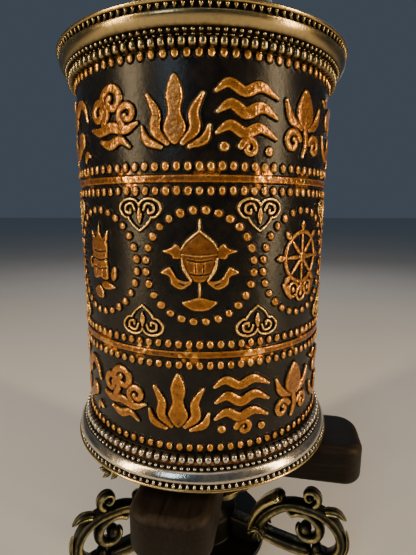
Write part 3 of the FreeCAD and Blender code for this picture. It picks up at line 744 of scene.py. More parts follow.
def lacquered_wood(name, turn):
    """Near-black lacquer over brown wood, thin along the edges."""
    finish = Finish(name)
    finish.shader.inputs["Specular IOR Level"].default_value = 0.09
    along = finish.stretch((0.09, 1.0, 1.0), -turn)
    streaks = finish.noise(1.3, 5, 0.65, along)
    broad = finish.noise(9.0, 3, place=along)
    thin = finish.math("ADD", finish.attribute("wear_and_shade"), finish.math("MULTIPLY", broad, 0.7))
    rub_and_shade = finish.math("ADD", thin, -0.72, clamp=True)
    lacquer = finish.ramp(streaks, (0.3, (0.004, 0.0035, 0.003)), (0.72, (0.015, 0.011, 0.008)))
    bare = finish.ramp(streaks, (0.3, (0.009, 0.0065, 0.0045)), (0.75, (0.040, 0.028, 0.018)))
    finish.set(base_color=finish.mix(rub_and_shade, lacquer, bare),
               roughness=finish.blend(streaks, 0.38, 0.6))
    return finish.bump(streaks, 0.12).material


def fibre(name, dark, light, stripe, size=0.6):
    """Paper, cloth or thread: fine stripes with cloudy soiling."""
    finish = Finish(name, roughness=0.85)
    weave = finish.noise(size, 3, place=finish.stretch(stripe))
    soil = finish.noise(8.0, 4)
    tone = finish.math("ADD", finish.math("MULTIPLY", weave, 0.6), finish.math("MULTIPLY", soil, 0.4))
    finish.set(base_color=finish.mix(tone, dark, light))
    return finish.bump(weave, 0.1).material


LONG_TURN = math.radians(-13.2)
SHORT_TURN = LONG_TURN + math.pi / 2
COPPER = drum_copper()
# the top rim is the same silver-plated brass as the bottom rim's white metal; its warmer brass colour here
# is painted warm reflection of the light from above
WHITE_METAL = aged_metal("white_metal", (0.008, 0.007, 0.006), (0.12, 0.10, 0.07), (0.54, 0.49, 0.40),
                         (0.42, 0.17), 0.42)
WARM_LIT_RIM_METAL = aged_metal("rim_brass", (0.008, 0.006, 0.003), (0.085, 0.062, 0.024), (0.36, 0.275, 0.13),
                       (0.42, 0.19), 0.38)
LIP_BRASS = aged_metal("lip_brass", (0.02, 0.014, 0.005), (0.12, 0.08, 0.03), (0.46, 0.33, 0.13),
                       (0.42, 0.22), 0.5)
STAND_BRASS = aged_metal("stand_brass", (0.004, 0.0042, 0.003), (0.036, 0.035, 0.020), (0.50, 0.43, 0.20),
                         (0.5, 0.26), 0.14, 1.8, 0.07)
GROOVE_BROWN = aged_metal("groove_brown", (0.03, 0.012, 0.005), (0.20, 0.080, 0.030), (0.50, 0.22, 0.085),
                          (0.5, 0.3), 0.6)
BRONZE = plain_metal("bronze", (0.20, 0.12, 0.05), (0.42, 0.28, 0.13))
STEEL = plain_metal("steel", (0.22, 0.22, 0.22), (0.42, 0.42, 0.41))
LONG_WOOD = lacquered_wood("long_beam_wood", LONG_TURN)
SHORT_WOOD = lacquered_wood("short_beam_wood", SHORT_TURN)
PAPER = fibre("rolled_paper", (0.55, 0.45, 0.28), (0.83, 0.76, 0.60), (0.2, 0.2, 1))
CLOTH = fibre("wrap_cloth", (0.45, 0.25, 0.04), (0.80, 0.52, 0.12), (1, 1, 1))
THREAD = fibre("tie_thread", (0.25, 0.02, 0.02), (0.60, 0.07, 0.05), (1, 1, 5), 0.4)
SLOT_MATERIALS = {"copper": COPPER, "white_metal": WHITE_METAL, "rim_brass": WARM_LIT_RIM_METAL,
                  "stand_brass": STAND_BRASS, "bronze": BRONZE, "steel": STEEL,
                  "dark_wood": LONG_WOOD, "paper": PAPER, "cloth": CLOTH, "thread": THREAD}


# ---------------------------------------------------------------- the drum's skin, in rings
SKIN_RINGS = 6
BLUR_PASSES = 6
SKIN_SET_BACK = 0.02


def build_skin():
    """The relief as a closed sheet, split into rings so that no piece grows too heavy."""
    radius = DRUM_R - SKIN_SET_BACK + surface
    slope_across = (np.roll(radius, -1, 1) - np.roll(radius, 1, 1)) / (2 * STEP)
    slope_level = np.gradient(radius, LEVELS, axis=0)
    angle = FRONT + np.arange(COLUMNS) * STEP / DRUM_R
    out = np.stack([np.cos(angle), np.sin(angle), np.zeros(COLUMNS)], -1)
    along = np.stack([-np.sin(angle), np.cos(angle), np.zeros(COLUMNS)], -1)
    up = np.array([0.0, 0.0, 1.0])
    points = radius[..., None] * out + (MIDDLE + LEVELS)[:, None, None] * up
    normals = out - slope_across[..., None] * along - slope_level[..., None] * up
    normals /= np.linalg.norm(normals, axis=-1, keepdims=True)
    blurred = height.copy()
    for _ in range(BLUR_PASSES):
        blurred = (np.roll(blurred, 1, 1) + np.roll(blurred, -1, 1) + np.roll(blurred, 1, 0)
                   + np.roll(blurred, -1, 0) + 2 * blurred) / 6
    # crest is high on the relief's crests and low at their feet; it rubs the copper bare there and also
    # paints a highlight on the crests and shade at the feet
    crest = np.clip(0.32 * height + 2.6 * (height - blurred), 0, 1)
    edges = np.linspace(0, ROWS - 1, SKIN_RINGS + 1).round().astype(int)
    for number, (first, last) in enumerate(zip(edges, edges[1:]), start=1):
        rows = slice(first, last + 1)
        piece = new_piece("drum_skin_%d" % number, points[rows].reshape(-1, 3),
                          grid_faces(last + 1 - first, COLUMNS), "drum", COPPER, ["drum_sleeve"])
        piece.data.normals_split_custom_set_from_vertices(normals[rows].reshape(-1, 3).tolist())
        add_attribute(piece, "relief", copper[rows])
        add_attribute(piece, "crest", crest[rows])
        add_attribute(piece, "close", halo[rows])
        add_attribute(piece, "smear", smears[rows])


build_skin()


# ---------------------------------------------------------------- rows of small raised work
def rounded_block(rows=8, segments=12, power=2.6):
    """A pillow shape that fits a cube from -1 to 1, as points and faces."""
    up = np.linspace(-math.pi / 2, math.pi / 2, rows)
    turn = np.arange(segments) / segments * TAU

    def bent(values):
        return np.sign(values) * np.abs(values) ** (2 / power)
    x = bent(np.cos(up))[:, None] * bent(np.cos(turn))
    y = bent(np.cos(up))[:, None] * bent(np.sin(turn))
    z = np.repeat(bent(np.sin(up))[:, None], segments, 1)
    return np.stack([x, y, z], -1).reshape(-1, 3), grid_faces(rows, segments)


def tooth_block(direction):
    """A rounded triangular tooth in the cube from -1 to 1; it narrows upwards when direction is +1."""
    points, faces = rounded_block(9, 12, 3.2)
    narrowing = np.clip(0.62 - 0.5 * points[:, 2] * direction, 0.08, 1)
    points[:, 0] *= narrowing
    points[:, 1] *= 0.45 + 0.55 * narrowing
    return points, faces


# how uneven handmade beads are: their sizes vary by this share, and they lean a little more than that
UNEVEN_SHARE = 0.05
TILT_SHARE = 1.5


def bead_row(name, count, radius, level, size, material, node, block=None, phase=0.0):
    """Beads standing in a ring on the drum; size is (across, outwards, tall) in millimetres."""
    shape, faces = block or rounded_block()
    all_points, all_faces, wear_and_shade = [], [], []
    for number in range(count):
        angle = (number + phase) / count * TAU
        scale = np.array(size) / 2 * (1 + random.uniform(-UNEVEN_SHARE, UNEVEN_SHARE, 3))
        local = shape * scale
        tilt = random.uniform(-UNEVEN_SHARE, UNEVEN_SHARE) * TILT_SHARE
        across = local[:, 0] * math.cos(tilt) - local[:, 2] * math.sin(tilt)
        tall = local[:, 0] * math.sin(tilt) + local[:, 2] * math.cos(tilt)
        out = radius + local[:, 1]
        points = np.stack([out * math.cos(angle) - across * math.sin(angle),
                           out * math.sin(angle) + across * math.cos(angle), level + tall], -1)
        all_faces.append(faces + number * len(shape))
        all_points.append(points)
        # each bead is painted bright on its outer face and dark, as painted shade, on the side against the
        # drum
        wear_and_shade.append(0.5 + 0.5 * shape[:, 1])
    new_piece(name, np.vstack(all_points), np.vstack(all_faces), "drum", material, [node],
              np.concatenate(wear_and_shade))


WIRE_SIDES = 14


def wire(name, radius, level, thick, material, node):
    """A plain round wire lying round the drum; thick is its own radius."""
    turn = np.arange(WIRE_SIDES) / WIRE_SIDES * TAU
    profile = np.stack([radius + thick * np.cos(turn), level + thick * np.sin(turn)], -1)
    # the wire is painted bright on its outer side and dark, as painted shade, on the side against the drum
    rub_and_shade = 0.6 + 0.4 * np.cos(turn)
    lathe(name, profile, "drum", material, [node], RIM_SEGMENTS, rub_and_shade, closed=True)


# rows of small work on a rim: count, radius, distance from the lip and (across, outwards, tall)
RIM_SEGMENTS = 320
PEARLS = (108, 46.3, 8.5, (2.1, 3.0, 2.4))
BEADS = (144, 47.65, 6.2, (1.25, 1.4, 0.95))
TEETH = (144, 49.55, 1.65, (1.4, 2.0, 1.35))
TOP_DOTS = (144, 46.6, 6.95, (1.0, 1.1, 0.65))
LIP_RADIUS = 50.3
LIP_THICK = 0.5
PEARL_BLOCK = rounded_block(9, 14, 3.2)

# (radius, distance from the lip towards the drum's middle, how bright it is painted: rubbed bright on the
# rolls, and 0 in the recesses as painted shade)
RIM_PROFILE = [
    (44.3, 1.6, 0.2), (44.6, 0.25, 0.7), (45.2, 0.0, 0.9), (49.2, 0.0, 0.9), (49.4, 0.4, 0.2),
    (49.4, 2.2, 0.0), (49.7, 2.35, 0.6), (50.05, 2.6, 1.0), (50.15, 3.1, 1.0), (50.0, 3.7, 1.0),
    (49.65, 4.4, 1.0), (49.15, 5.1, 1.0), (48.6, 5.55, 0.7), (48.1, 5.72, 0.1), (47.4, 5.78, 0.0),
    (47.3, 6.6, 0.0), (46.9, 6.7, 0.3), (46.35, 6.8, 0.4), (46.2, 7.15, 0.0), (45.6, 7.25, 0.0),
    (45.5, 9.5, 0.0), (45.35, 9.8, 0.2), (44.9, 9.8, 0.1),
]


def rim(end, direction, lip, finish, wire_finish, pearl_phase):
    """A rim's band and its rows; direction is +1 for the bottom rim and -1 for the top one."""
    def at(distance):
        return lip + direction * distance
    outline = RIM_PROFILE[::direction]
    profile = np.array([(radius, at(distance)) for radius, distance, _ in outline])
    curve = spline(profile, 3)
    rub_and_shade = np.interp(np.linspace(0, len(outline) - 1, len(curve)), range(len(outline)),
                       [profile_rub_and_shade for _, _, profile_rub_and_shade in outline])
    lathe(end + "_rim", curve, "drum", finish, [end + "_rim_band"], RIM_SEGMENTS, rub_and_shade)
    rows = (("pearl", PEARLS, PEARL_BLOCK, pearl_phase), ("bead", BEADS, None, 0.0),
            ("tooth", TEETH, tooth_block(direction), 0.0))
    for kind, (count, radius, distance, size), block, phase in rows:
        name = end + {"pearl": "_pearls", "bead": "_beads", "tooth": "_teeth"}[kind]
        node = "%s_%s_wire" % (end, kind)
        bead_row(name, count, radius, at(distance), size, finish, node, block, phase)
    wire(end + "_lip", LIP_RADIUS, at(LIP_THICK), LIP_THICK, wire_finish, end + "_lip_wire")


rim("bottom", 1, LIP_LOW, WHITE_METAL, LIP_BRASS, 0.0)
rim("top", -1, LIP_HIGH, WARM_LIT_RIM_METAL, LIP_BRASS, 0.4)
dot_count, dot_radius, dot_distance, dot_size = TOP_DOTS
bead_row("top_dots", dot_count, dot_radius, LIP_HIGH - dot_distance, dot_size, WARM_LIT_RIM_METAL,
         "top_dot_wire")
# the bare copper that shows in the bottom rim's groove, over the pearls
GROOVE_PROFILE = [(46.95, LIP_LOW + 6.76), (46.5, LIP_LOW + 6.84), (46.35, LIP_LOW + 7.12),
                  (45.8, LIP_LOW + 7.32)]
lathe("bottom_groove", GROOVE_PROFILE, "drum", GROOVE_BROWN, (), RIM_SEGMENTS,
      np.full(len(GROOVE_PROFILE), 0.6))


# ---------------------------------------------------------------- the lid and its crown
PETALS = 16
DISC_RINGS = 60
DISC_SEGMENTS = 288


def petal_disc(name, level, reach, inner, slot, material, node, rise, face):
    """A flat round plate with a ring of low petals; face is +1 looking up and -1 looking down."""
    radii = np.linspace(reach, inner, DISC_RINGS)
    angle = np.arange(DISC_SEGMENTS) / DISC_SEGMENTS * TAU
    share = (radii - inner) / (reach - inner)
    wave = np.abs(np.cos(angle * PETALS / 2))[None, :]
    tip = 0.35 + 0.5 * wave
    inside = np.clip((tip - share[:, None]) * 6, 0, 1)
    lift = rise * np.sqrt(1 - (1 - inside) ** 2) * (1 - 0.5 * (1 - wave))
    edge_bead = rise * 0.8 * np.exp(-((share - 0.94) / 0.03) ** 2)[:, None]
    lift = (np.maximum(lift, edge_bead) - rise) * face
    x = radii[:, None] * np.cos(angle)
    y = radii[:, None] * np.sin(angle)
    points = np.stack([x, y, level + lift], -1).reshape(-1, 3)
    faces = grid_faces(DISC_RINGS, DISC_SEGMENTS)
    # the raised petals are painted bright and the low ground between them dark, as painted shade
    new_piece(name, points, faces if face > 0 else faces[:, ::-1], "drum", material, [node],
              np.clip((lift * face + rise) / rise, 0, 1) * 0.8 + 0.1)


LID = node_mm("top_cap")[1][2]
CAP_FACE = node_mm("bottom_cap")[0][2]
CAP_RADII = (44.6, 8.0)
petal_disc("lid", LID, *CAP_RADII, "copper", GROOVE_BROWN, "top_cap", rise=0.5, face=1)
petal_disc("drum_floor", CAP_FACE, *CAP_RADII, "copper", GROOVE_BROWN, "bottom_cap", rise=0.3, face=-1)
DOME_FOOT = node_mm("crown_dome")[0][2]
DOME_TOP = node_mm("crown_dome")[1][2]
CROWN_SEGMENTS = 384
FINIAL_SEGMENTS = 192


def petal_ripple(count, depth, low, high, fade_low=3, fade_high=3):
    """A ripple for lathe: petals between two rows of the profile, fading out over so many rows.

    depth is a share of the radius.
    """
    def ripple(angle, row):
        strength = np.clip((row - low) / fade_low, 0, 1) * np.clip((high - row) / fade_high, 0, 1)
        return 1 - depth * strength * (1 - np.abs(np.cos(angle * count / 2)))
    return ripple


def petal_ridges(count, segments):
    """1 on the crest of each petal and 0 between petals, round one ring of a turned piece."""
    return np.abs(np.cos(np.arange(segments) / segments * TAU * count / 2))


def crown():
    """The moulded foot, the petalled dome and the bud-shaped finial over the lid."""
    foot = soften([(26.0, LID), (31.6, LID), (32.0, LID + 0.5), (31.9, LID + 1.1), (30.6, LID + 1.7),
                   (30.4, LID + 2.3), (31.2, LID + 2.9), (30.8, LID + 3.6), (29.4, LID + 4.0),
                   (26.0, LID + 4.0)])
    # the crown is painted brighter on its outer rims and petal crests and darker, as painted shade, between
    # the petals and towards the spindle
    lathe("crown_base", foot, "drum", WARM_LIT_RIM_METAL, ["crown_foot"], RIM_SEGMENTS,
          np.clip((foot[:, 0] - 29.8) / 2, 0, 1))
    arc = [(29.3, 0.0), (29.2, 2.2), (28.6, 6.0), (27.6, 10.0), (26.2, 14.0), (24.4, 17.6), (22.0, 21.0),
           (18.8, 24.2), (15.0, 26.8), (11.0, 28.8), (8.0, 30.2), (6.6, 31.4), (6.0, 32.0), (2.5, 32.0)]
    dome = spline([(radius, DOME_FOOT + rise) for radius, rise in arc], 5)
    rows = len(dome)
    lobes = np.tile(petal_ridges(PETALS, CROWN_SEGMENTS), (rows, 1))
    lathe("crown_shell", dome, "drum", WHITE_METAL, ["crown_dome"], CROWN_SEGMENTS,
          0.45 + 0.5 * lobes, ripple=petal_ripple(PETALS, 0.035, rows * 0.32, rows * 0.86))
    tip = [(2.4, -2.0), (4.2, 0.0), (4.6, 1.2), (3.6, 2.6), (5.4, 4.6), (7.6, 7.6), (8.0, 10.0),
           (7.0, 13.0), (4.8, 16.0), (2.6, 18.8), (1.6, 21.0), (0.9, 22.6), (0.02, 23.0)]
    bud = spline([(radius, DOME_TOP + rise) for radius, rise in tip], 5)
    lathe("crown_bud", bud, "drum", LIP_BRASS, ["finial"], FINIAL_SEGMENTS,
          np.clip((bud[:, 0] - 3) / 5, 0.2, 1), ripple=petal_ripple(8, 0.07, 16, 48))


crown()


# ---------------------------------------------------------------- the turning handle
CORNER_POINTS = 14
SIDE_POINTS = 16


def rounded_outline(near, far, half, corner):
    """Points counterclockwise round a rounded rectangle, with their outward normals."""
    spots, normals = [], []
    arcs = ((far - corner, corner - half, -90), (far - corner, half - corner, 0),
            (near + corner, half - corner, 90), (near + corner, corner - half, 180))
    for x, y, start in arcs:
        angle = np.radians(np.linspace(start, start + 90, CORNER_POINTS))
        out = np.stack([np.cos(angle), np.sin(angle)], -1)
        arc = out * corner + (x, y)
        if spots:
            share = np.linspace(0, 1, SIDE_POINTS + 2)[1:-1, None]
            spots.append(spots[-1][-1] * (1 - share) + arc[0] * share)
            normals.append(np.tile(out[0], (SIDE_POINTS, 1)))
        spots.append(arc)
        normals.append(out)
    return np.vstack(spots), np.vstack(normals)


def soft_ring(count, waves):
    """Smooth unevenness along a closed outline of count points."""
    place = np.arange(count) / count * TAU
    total = sum(np.sin(place * random.integers(2, 14) + random.uniform(0, TAU)) for _ in range(waves))
    return total / waves


BEAM_HALF = 13.3
BEAM_CORNER = 8.0
BEAM_EDGE = 3.0
CHIPS = 0.12


def wooden_beam(name, near, far, turn, material, node, shrink=0.0):
    """A beam with rounded corners and worn edges, from near to far along its direction."""
    low, high = node_mm(node)
    bottom, top = low[2] + shrink, high[2] - shrink
    outline, normal = rounded_outline(near, far, BEAM_HALF, BEAM_CORNER)
    turn_in = np.linspace(0, math.pi / 2, 7)
    lower = BEAM_EDGE * (1 - np.sin(turn_in))
    upper = BEAM_EDGE * (1 - np.cos(turn_in))
    inset = [*lower, *upper]
    levels = [*(bottom + upper), *(top - lower)]
    rows = [(BEAM_EDGE * 1.6, bottom), *zip(inset, levels), (BEAM_EDGE * 1.6, top)]
    chips = soft_ring(len(outline), 5)
    points, wear_and_shade = [], []
    for number, (inward, level) in enumerate(rows):
        ring_points = outline - normal * (inward + CHIPS * chips)[:, None]
        points.append(np.column_stack([ring_points, np.full(len(outline), level)]))
        on_edge = 2 <= min(number, len(rows) - 1 - number) <= 5
        wear_and_shade.append(np.full(len(outline), 1.0 if on_edge else 0.25))
    points = np.vstack(points)
    c, s = math.cos(turn), math.sin(turn)
    points[:, :2] = points[:, :2] @ np.array([[c, s], [-s, c]])
    count = len(outline)
    faces = grid_faces(len(rows), count).tolist()
    faces.append(list(range(count))[::-1])
    faces.append(list(range((len(rows) - 1) * count, len(rows) * count)))
    new_piece(name, points, faces, "drum", material, [node], np.concatenate(wear_and_shade))


# how far each arm of the cross reaches from the spindle; the long beam stands off to one side
LONG_REACH = (-52.5, 65.0)
SHORT_REACH = 58.0
LAP_INSIDE = 4.0
LAP_GAP = 0.12
wooden_beam("long_beam", *LONG_REACH, LONG_TURN, LONG_WOOD, "long_handle_beam")
for number, turn in enumerate((SHORT_TURN, SHORT_TURN + math.pi), start=1):
    wooden_beam("short_beam_%d" % number, LAP_INSIDE, SHORT_REACH, turn, SHORT_WOOD, "short_handle_beam",
                LAP_GAP)


# ---------------------------------------------------------------- the stand
def arc_line(reach, level, radius, start, end):
    """Points along a circular arc in the leg's plane, about a millimetre apart."""
    count = max(10, round(abs(end - start) / 360 * TAU * radius / 0.8))
    angle = np.radians(np.linspace(start, end, count))
    return np.stack([reach + radius * np.cos(angle), level + radius * np.sin(angle)], -1)


def moulded(*ridges, segments=30, squareness=4.0):
    """A flat band's cross-section with ridges along both broad faces, each (place, half width, height)."""
    u = np.cos(np.linspace(0, math.pi, segments))
    body = np.clip(1 - np.abs(u) ** squareness, 0, 1) ** (1 / squareness)
    lift = np.zeros(segments)
    for place, half, rise in ridges:
        lift = np.maximum(lift, rise * np.sqrt(np.clip(1 - ((u - place) / half) ** 2, 0, 1)))
    out = body * (0.70 + 0.30 * lift)
    shape = np.vstack([np.stack([u, out], -1), np.stack([u, -out], -1)[::-1][1:-1]])
    # the ridges are painted bright as rubbed crests and the grooves between them dark as painted shade
    rub_and_shade = np.maximum(lift ** 2, 0.75 * (np.abs(u) > 0.97))
    return shape, np.concatenate([rub_and_shade, rub_and_shade[::-1][1:-1]])


BAND = moulded((-0.62, 0.36, 0.9), (0.28, 0.66, 1.0), segments=36, squareness=3.0)
TWO_RIDGES = moulded((-0.45, 0.50, 1.0), (0.52, 0.42, 0.85))
ROUNDED = moulded((0.0, 1.0, 1.0), segments=20, squareness=2.2)
LEAFY = moulded((0.0, 0.16, 1.0), (0.6, 0.3, 0.6), (-0.6, 0.3, 0.6), segments=24, squareness=2.4)


def sweep(path, thick, deep, section, taper=(3.0, 3.0), shine=0.0, across=0.0):
    """Points, faces and wear of a bar swept along a plane curve.

    thick is its half width in the plane at the start, middle and end; deep is its half width across;
    taper rounds off the ends; shine is extra rubbing; across moves it sideways out of the plane.
    """
    shape, rub_and_shade = section
    path = np.asarray(path, float)
    ahead = np.gradient(path, axis=0)
    ahead /= np.linalg.norm(ahead, axis=1, keepdims=True)
    side = np.stack([ahead[:, 1], -ahead[:, 0]], -1)
    run = np.concatenate([[0], np.cumsum(np.linalg.norm(np.diff(path, axis=0), axis=1))])
    to_start = np.clip(run / taper[0], 0, 1)
    to_end = np.clip((run[-1] - run) / taper[1], 0, 1)
    rounding = [np.sqrt(np.clip(1 - (1 - near_end) ** 2, 0.003, 1)) for near_end in (to_start, to_end)]
    scale = rounding[0] * rounding[1]
    width = scale * np.interp(run / run[-1], (0, 0.5, 1), thick)
    plane = path[:, None, :] + side[:, None, :] * (shape[None, :, :1] * width[:, None, None])
    sideways = across + shape[None, :, 1] * (scale * deep)[:, None]
    points = np.concatenate([plane, sideways[..., None]], -1).reshape(-1, 3)
    wear_and_shade = np.repeat(np.clip(0.05 + 0.95 * rub_and_shade + shine, 0, 1.3)[None, :], len(path), 0).ravel()
    return points, grid_faces(len(path), len(shape)), wear_and_shade


def spiral_line(reach, level, outer, inner, start, end):
    """A plane spiral from its outer end inwards; angles in degrees."""
    count = max(24, round(abs(end - start) / 9))
    angle = np.radians(np.linspace(start, end, count))
    radius = np.linspace(outer, inner, count)
    return np.stack([reach + radius * np.cos(angle), level + radius * np.sin(angle)], -1)


def ball_shape(reach, level, size, deep):
    """A cast bead in the leg's plane, deep across it."""
    points, faces = rounded_block(14, 20, 2.1)
    points = points * (size, deep, size)
    # the bead is painted bright on its broad faces and dark, as painted shade, round its edge where it
    # meets the scrolls
    wear_and_shade = 0.2 + 0.6 * np.abs(points[:, 1]) / deep
    return np.stack([points[:, 0] + reach, points[:, 2] + level, points[:, 1]], -1), faces[:, ::-1], wear_and_shade


def leaf_shape(reach, level, length, lean, wide, across=0.0, shine=0.5):
    """A small pointed leaf that grows from a spot, curling a little downwards."""
    angle = math.radians(lean)
    ahead = np.array([math.cos(angle), math.sin(angle)])
    spots = [np.array([reach, level]) + ahead * length * share - (0, 0.12 * length * share ** 2)
             for share in (0, 0.3, 0.65, 1.0)]
    return sweep(spline(spots, 6), (wide * 0.8, wide, wide * 0.25), wide * 0.9, LEAFY, (1.0, length * 0.6),
                 shine, across)


def leg_shapes():
    """Everything in one leg, in the leg's plane: (reach, height, across)."""
    stem = spline([(24.6, 21.7), (28.6, 29.6), (34.0, 35.6), (39.0, 38.6), (44.0, 39.6)], 12)
    loop = arc_line(47.2, 29.6, 11.2, 100, -98) * (1, 0.9) + (0, 2.9)
    curl_in = np.vstack([spline([(36.6, 38.6), (37.6, 37.0), (39.0, 35.2)], 6)[:-1],
                         spiral_line(45.2, 30.6, 6.9, 2.9, 142, -190)])
    shapes = [
        sweep(np.vstack([stem[:-2], loop[1:]]), (2.3, 2.2, 1.4), 3.0, BAND, (3, 5)),
        sweep(arc_line(47.8, 19.0, 25.8, 120, 182), (2.0, 1.7, 1.1), 4.4, ROUNDED, (2, 3), 0.55),
        sweep(arc_line(46.9, 30.2, 13.9, 22, -50), (0.4, 1.0, 0.5), 1.8, LEAFY, (4, 5), 0.45),
        sweep(arc_line(37.2, 80.4, 60.0, -103, -80), (2.0, 2.6, 2.6), 3.4, BAND, (2, 2)),
        sweep(arc_line(50.0, 8.0, 13.5, 100, -24), (1.8, 2.3, 2.2), 3.2, BAND, (3, 2)),
        sweep(spiral_line(46.4, 44.9, 3.5, 1.1, -80, 330), (1.5, 1.15, 0.9), 2.4, ROUNDED, (1, 3), 0.12),
        sweep(curl_in, (1.2, 2.0, 1.5), 2.8, ROUNDED, (2, 4)),
        sweep(spiral_line(51.8, 13.0, 4.8, 1.8, -80, 280), (1.5, 1.5, 1.0), 2.3, ROUNDED, (2, 4)),
        ball_shape(45.0, 30.4, 2.3, 3.0),
        ball_shape(49.6, 23.4, 1.9, 2.6),
        ball_shape(52.2, 12.6, 2.2, 2.8),
        ball_shape(46.4, 44.9, 0.9, 2.2),
        ball_shape(34.3, 40.4, 1.9, 3.4),
        sweep(spline([(51.4, 39.6), (54.0, 40.9), (57.0, 41.2), (60.0, 39.6)], 8), (1.8, 1.7, 0.4), 2.2,
              LEAFY, (2, 5), 0.45),
    ]
    for across in (-4.4, -1.6, 1.6, 4.4):
        for lean, length in ((-150, 5.0), (-115, 5.4), (-80, 5.0), (-40, 4.2)):
            shapes.append(leaf_shape(26.4, 25.0, length, lean, 1.2, across, 0.3))
    return shapes


def lug_shape():
    """The block at a leg's root."""
    line = np.stack([np.linspace(13.4, 27.0, 20), np.full(20, 19.2)], -1)
    section = moulded((0, 2.0, 0.2), segments=24, squareness=7.0)
    return sweep(line, (4.7, 4.7, 4.7), 3.9, section, (0.8, 2.0))


def merged(shapes):
    """Several (points, faces, wear) shapes as one."""
    points, faces, wear_and_shade = [], [], []
    offset = 0
    for shape_points, shape_faces, shape_wear_and_shade in shapes:
        points.append(shape_points)
        faces.append(shape_faces + offset)
        wear_and_shade.append(shape_wear_and_shade)
        offset += len(shape_points)
    return np.vstack(points), np.vstack(faces), np.concatenate(wear_and_shade)


def stood_up(points, turn):
    """Points (reach, height, across) placed in the vertical plane at an angle about the spindle."""
    c, s = math.cos(turn), math.sin(turn)
    reach, level, across = points.T
    return np.stack([reach * c - across * s, reach * s + across * c, level], -1)


FOOT_REACH = 62.5
FOOT_SEGMENTS = 40
FOOT_PROFILE = soften([(0.02, 0.0), (5.0, 0.0), (5.5, 0.6), (5.4, 1.8), (4.4, 2.6), (2.6, 3.2),
                       (0.02, 3.4)], 0.5)


def build_leg(name, degrees, shift):
    """One cast leg; shift moves its scrollwork and foot outwards."""
    shapes = [(points + (shift, 0, 0), faces, wear_and_shade) for points, faces, wear_and_shade in leg_shapes()]
    points, faces, wear_and_shade = merged(shapes + [lug_shape()])
    turn = math.radians(degrees)
    reach = FOOT_REACH + shift
    foot = lathe_points(FOOT_PROFILE, FOOT_SEGMENTS) + (reach * math.cos(turn), reach * math.sin(turn), 0)
    foot_faces = grid_faces(len(FOOT_PROFILE), FOOT_SEGMENTS, first=len(points))
    # the foot is painted bright on its outer edge and dark, as painted shade, towards its middle under the
    # leg
    foot_wear_and_shade = np.repeat(np.clip((FOOT_PROFILE[:, 0] - 3) / 3, 0, 1), FOOT_SEGMENTS)
    new_piece(name + "_cast", np.vstack([stood_up(points, turn), foot]), np.vstack([faces, foot_faces]),
              "stand", STAND_BRASS, [name], np.concatenate([wear_and_shade, foot_wear_and_shade]))


SPRAY_ROOT = 23.0
SPRAY_LEVEL = 43.6


def leaf_spray(name, degrees, reach):
    """A small spray of leaves that grows from the hub's flange, under the handle."""
    stalk = spline([(SPRAY_ROOT, SPRAY_LEVEL), ((SPRAY_ROOT + reach) / 2, SPRAY_LEVEL + 1.0),
                    (reach, SPRAY_LEVEL - 0.2)], 8)
    shapes = [sweep(stalk, (1.2, 1.0, 0.6), 1.3, TWO_RIDGES, (1, 3), 0.1)]
    leaves = ((0.5, 18, 0.0), (2.0, -26, 1.8), (2.0, -12, -2.2), (5.0, -40, 2.4), (5.0, -30, -2.6))
    for back, lean, across in leaves:
        shapes.append(leaf_shape(reach - back, SPRAY_LEVEL, 4.2, lean, 1.3, across, 0.5))
    points, faces, wear_and_shade = merged(shapes)
    placed = stood_up(points, math.radians(degrees))
    new_piece(name, placed, faces, "stand", STAND_BRASS, wear_and_shade=wear_and_shade)


# (name, direction in degrees, how far it stands out of the pattern) and (direction, reach)
LEGS = (("leg_right", -30, 1.5), ("leg_back", 90, 0.0), ("leg_left", 210, -2.8))
SPRAYS = ((184, 42.0), (270, 33.0), (-4, 33.0), (56, 33.0), (124, 33.0))
for name, degrees, shift in LEGS:
    build_leg(name, degrees, shift)
for number, (degrees, reach) in enumerate(SPRAYS, start=1):
    leaf_spray("hub_leaves_%d" % number, degrees, reach)


HUB_SEGMENTS = 256


def turned_hub():
    """The bowl-shaped hub that the legs are screwed to, with petals under its flange."""
    profile = spline([(6.0, 14.5), (14.6, 14.5), (15.0, 15.4), (15.0, 23.0), (14.6, 24.2), (13.2, 25.2),
                      (11.6, 27.0), (10.0, 30.0), (9.5, 32.4), (9.9, 34.6), (11.4, 36.4), (12.2, 37.6),
                      (11.6, 38.8), (13.6, 40.4), (18.0, 42.2), (22.6, 43.4), (25.6, 44.4), (26.0, 45.4),
                      (25.8, 46.8), (25.0, 47.5), (7.2, 47.5)], 5)
    lobes = 0.5 + 0.5 * petal_ridges(PETALS, HUB_SEGMENTS)
    # the hub is painted brighter out on its flange and petal crests and darker, as painted shade, on its
    # narrow neck and between the petals
    lathe("hub_bowl", profile, "stand", STAND_BRASS, ["hub"], HUB_SEGMENTS,
          np.clip((profile[:, 0] - 9.0) / 16, 0, 1)[:, None] * lobes,
          ripple=petal_ripple(PETALS, 0.05, 62, 92, 8, 6))


turned_hub()


# ---------------------------------------------------------------- materials of the designed pieces
for node, thing in frame["nodes"].items():
    slot_name = next(part["material_slot"] for part in frame["record"]["subparts"] if part["node"] == node)
    thing.data.materials.clear()
    thing.data.materials.append(SLOT_MATERIALS[slot_name])


# ---------------------------------------------------------------- floor, light and camera
FLOOR_REACH = 6.0


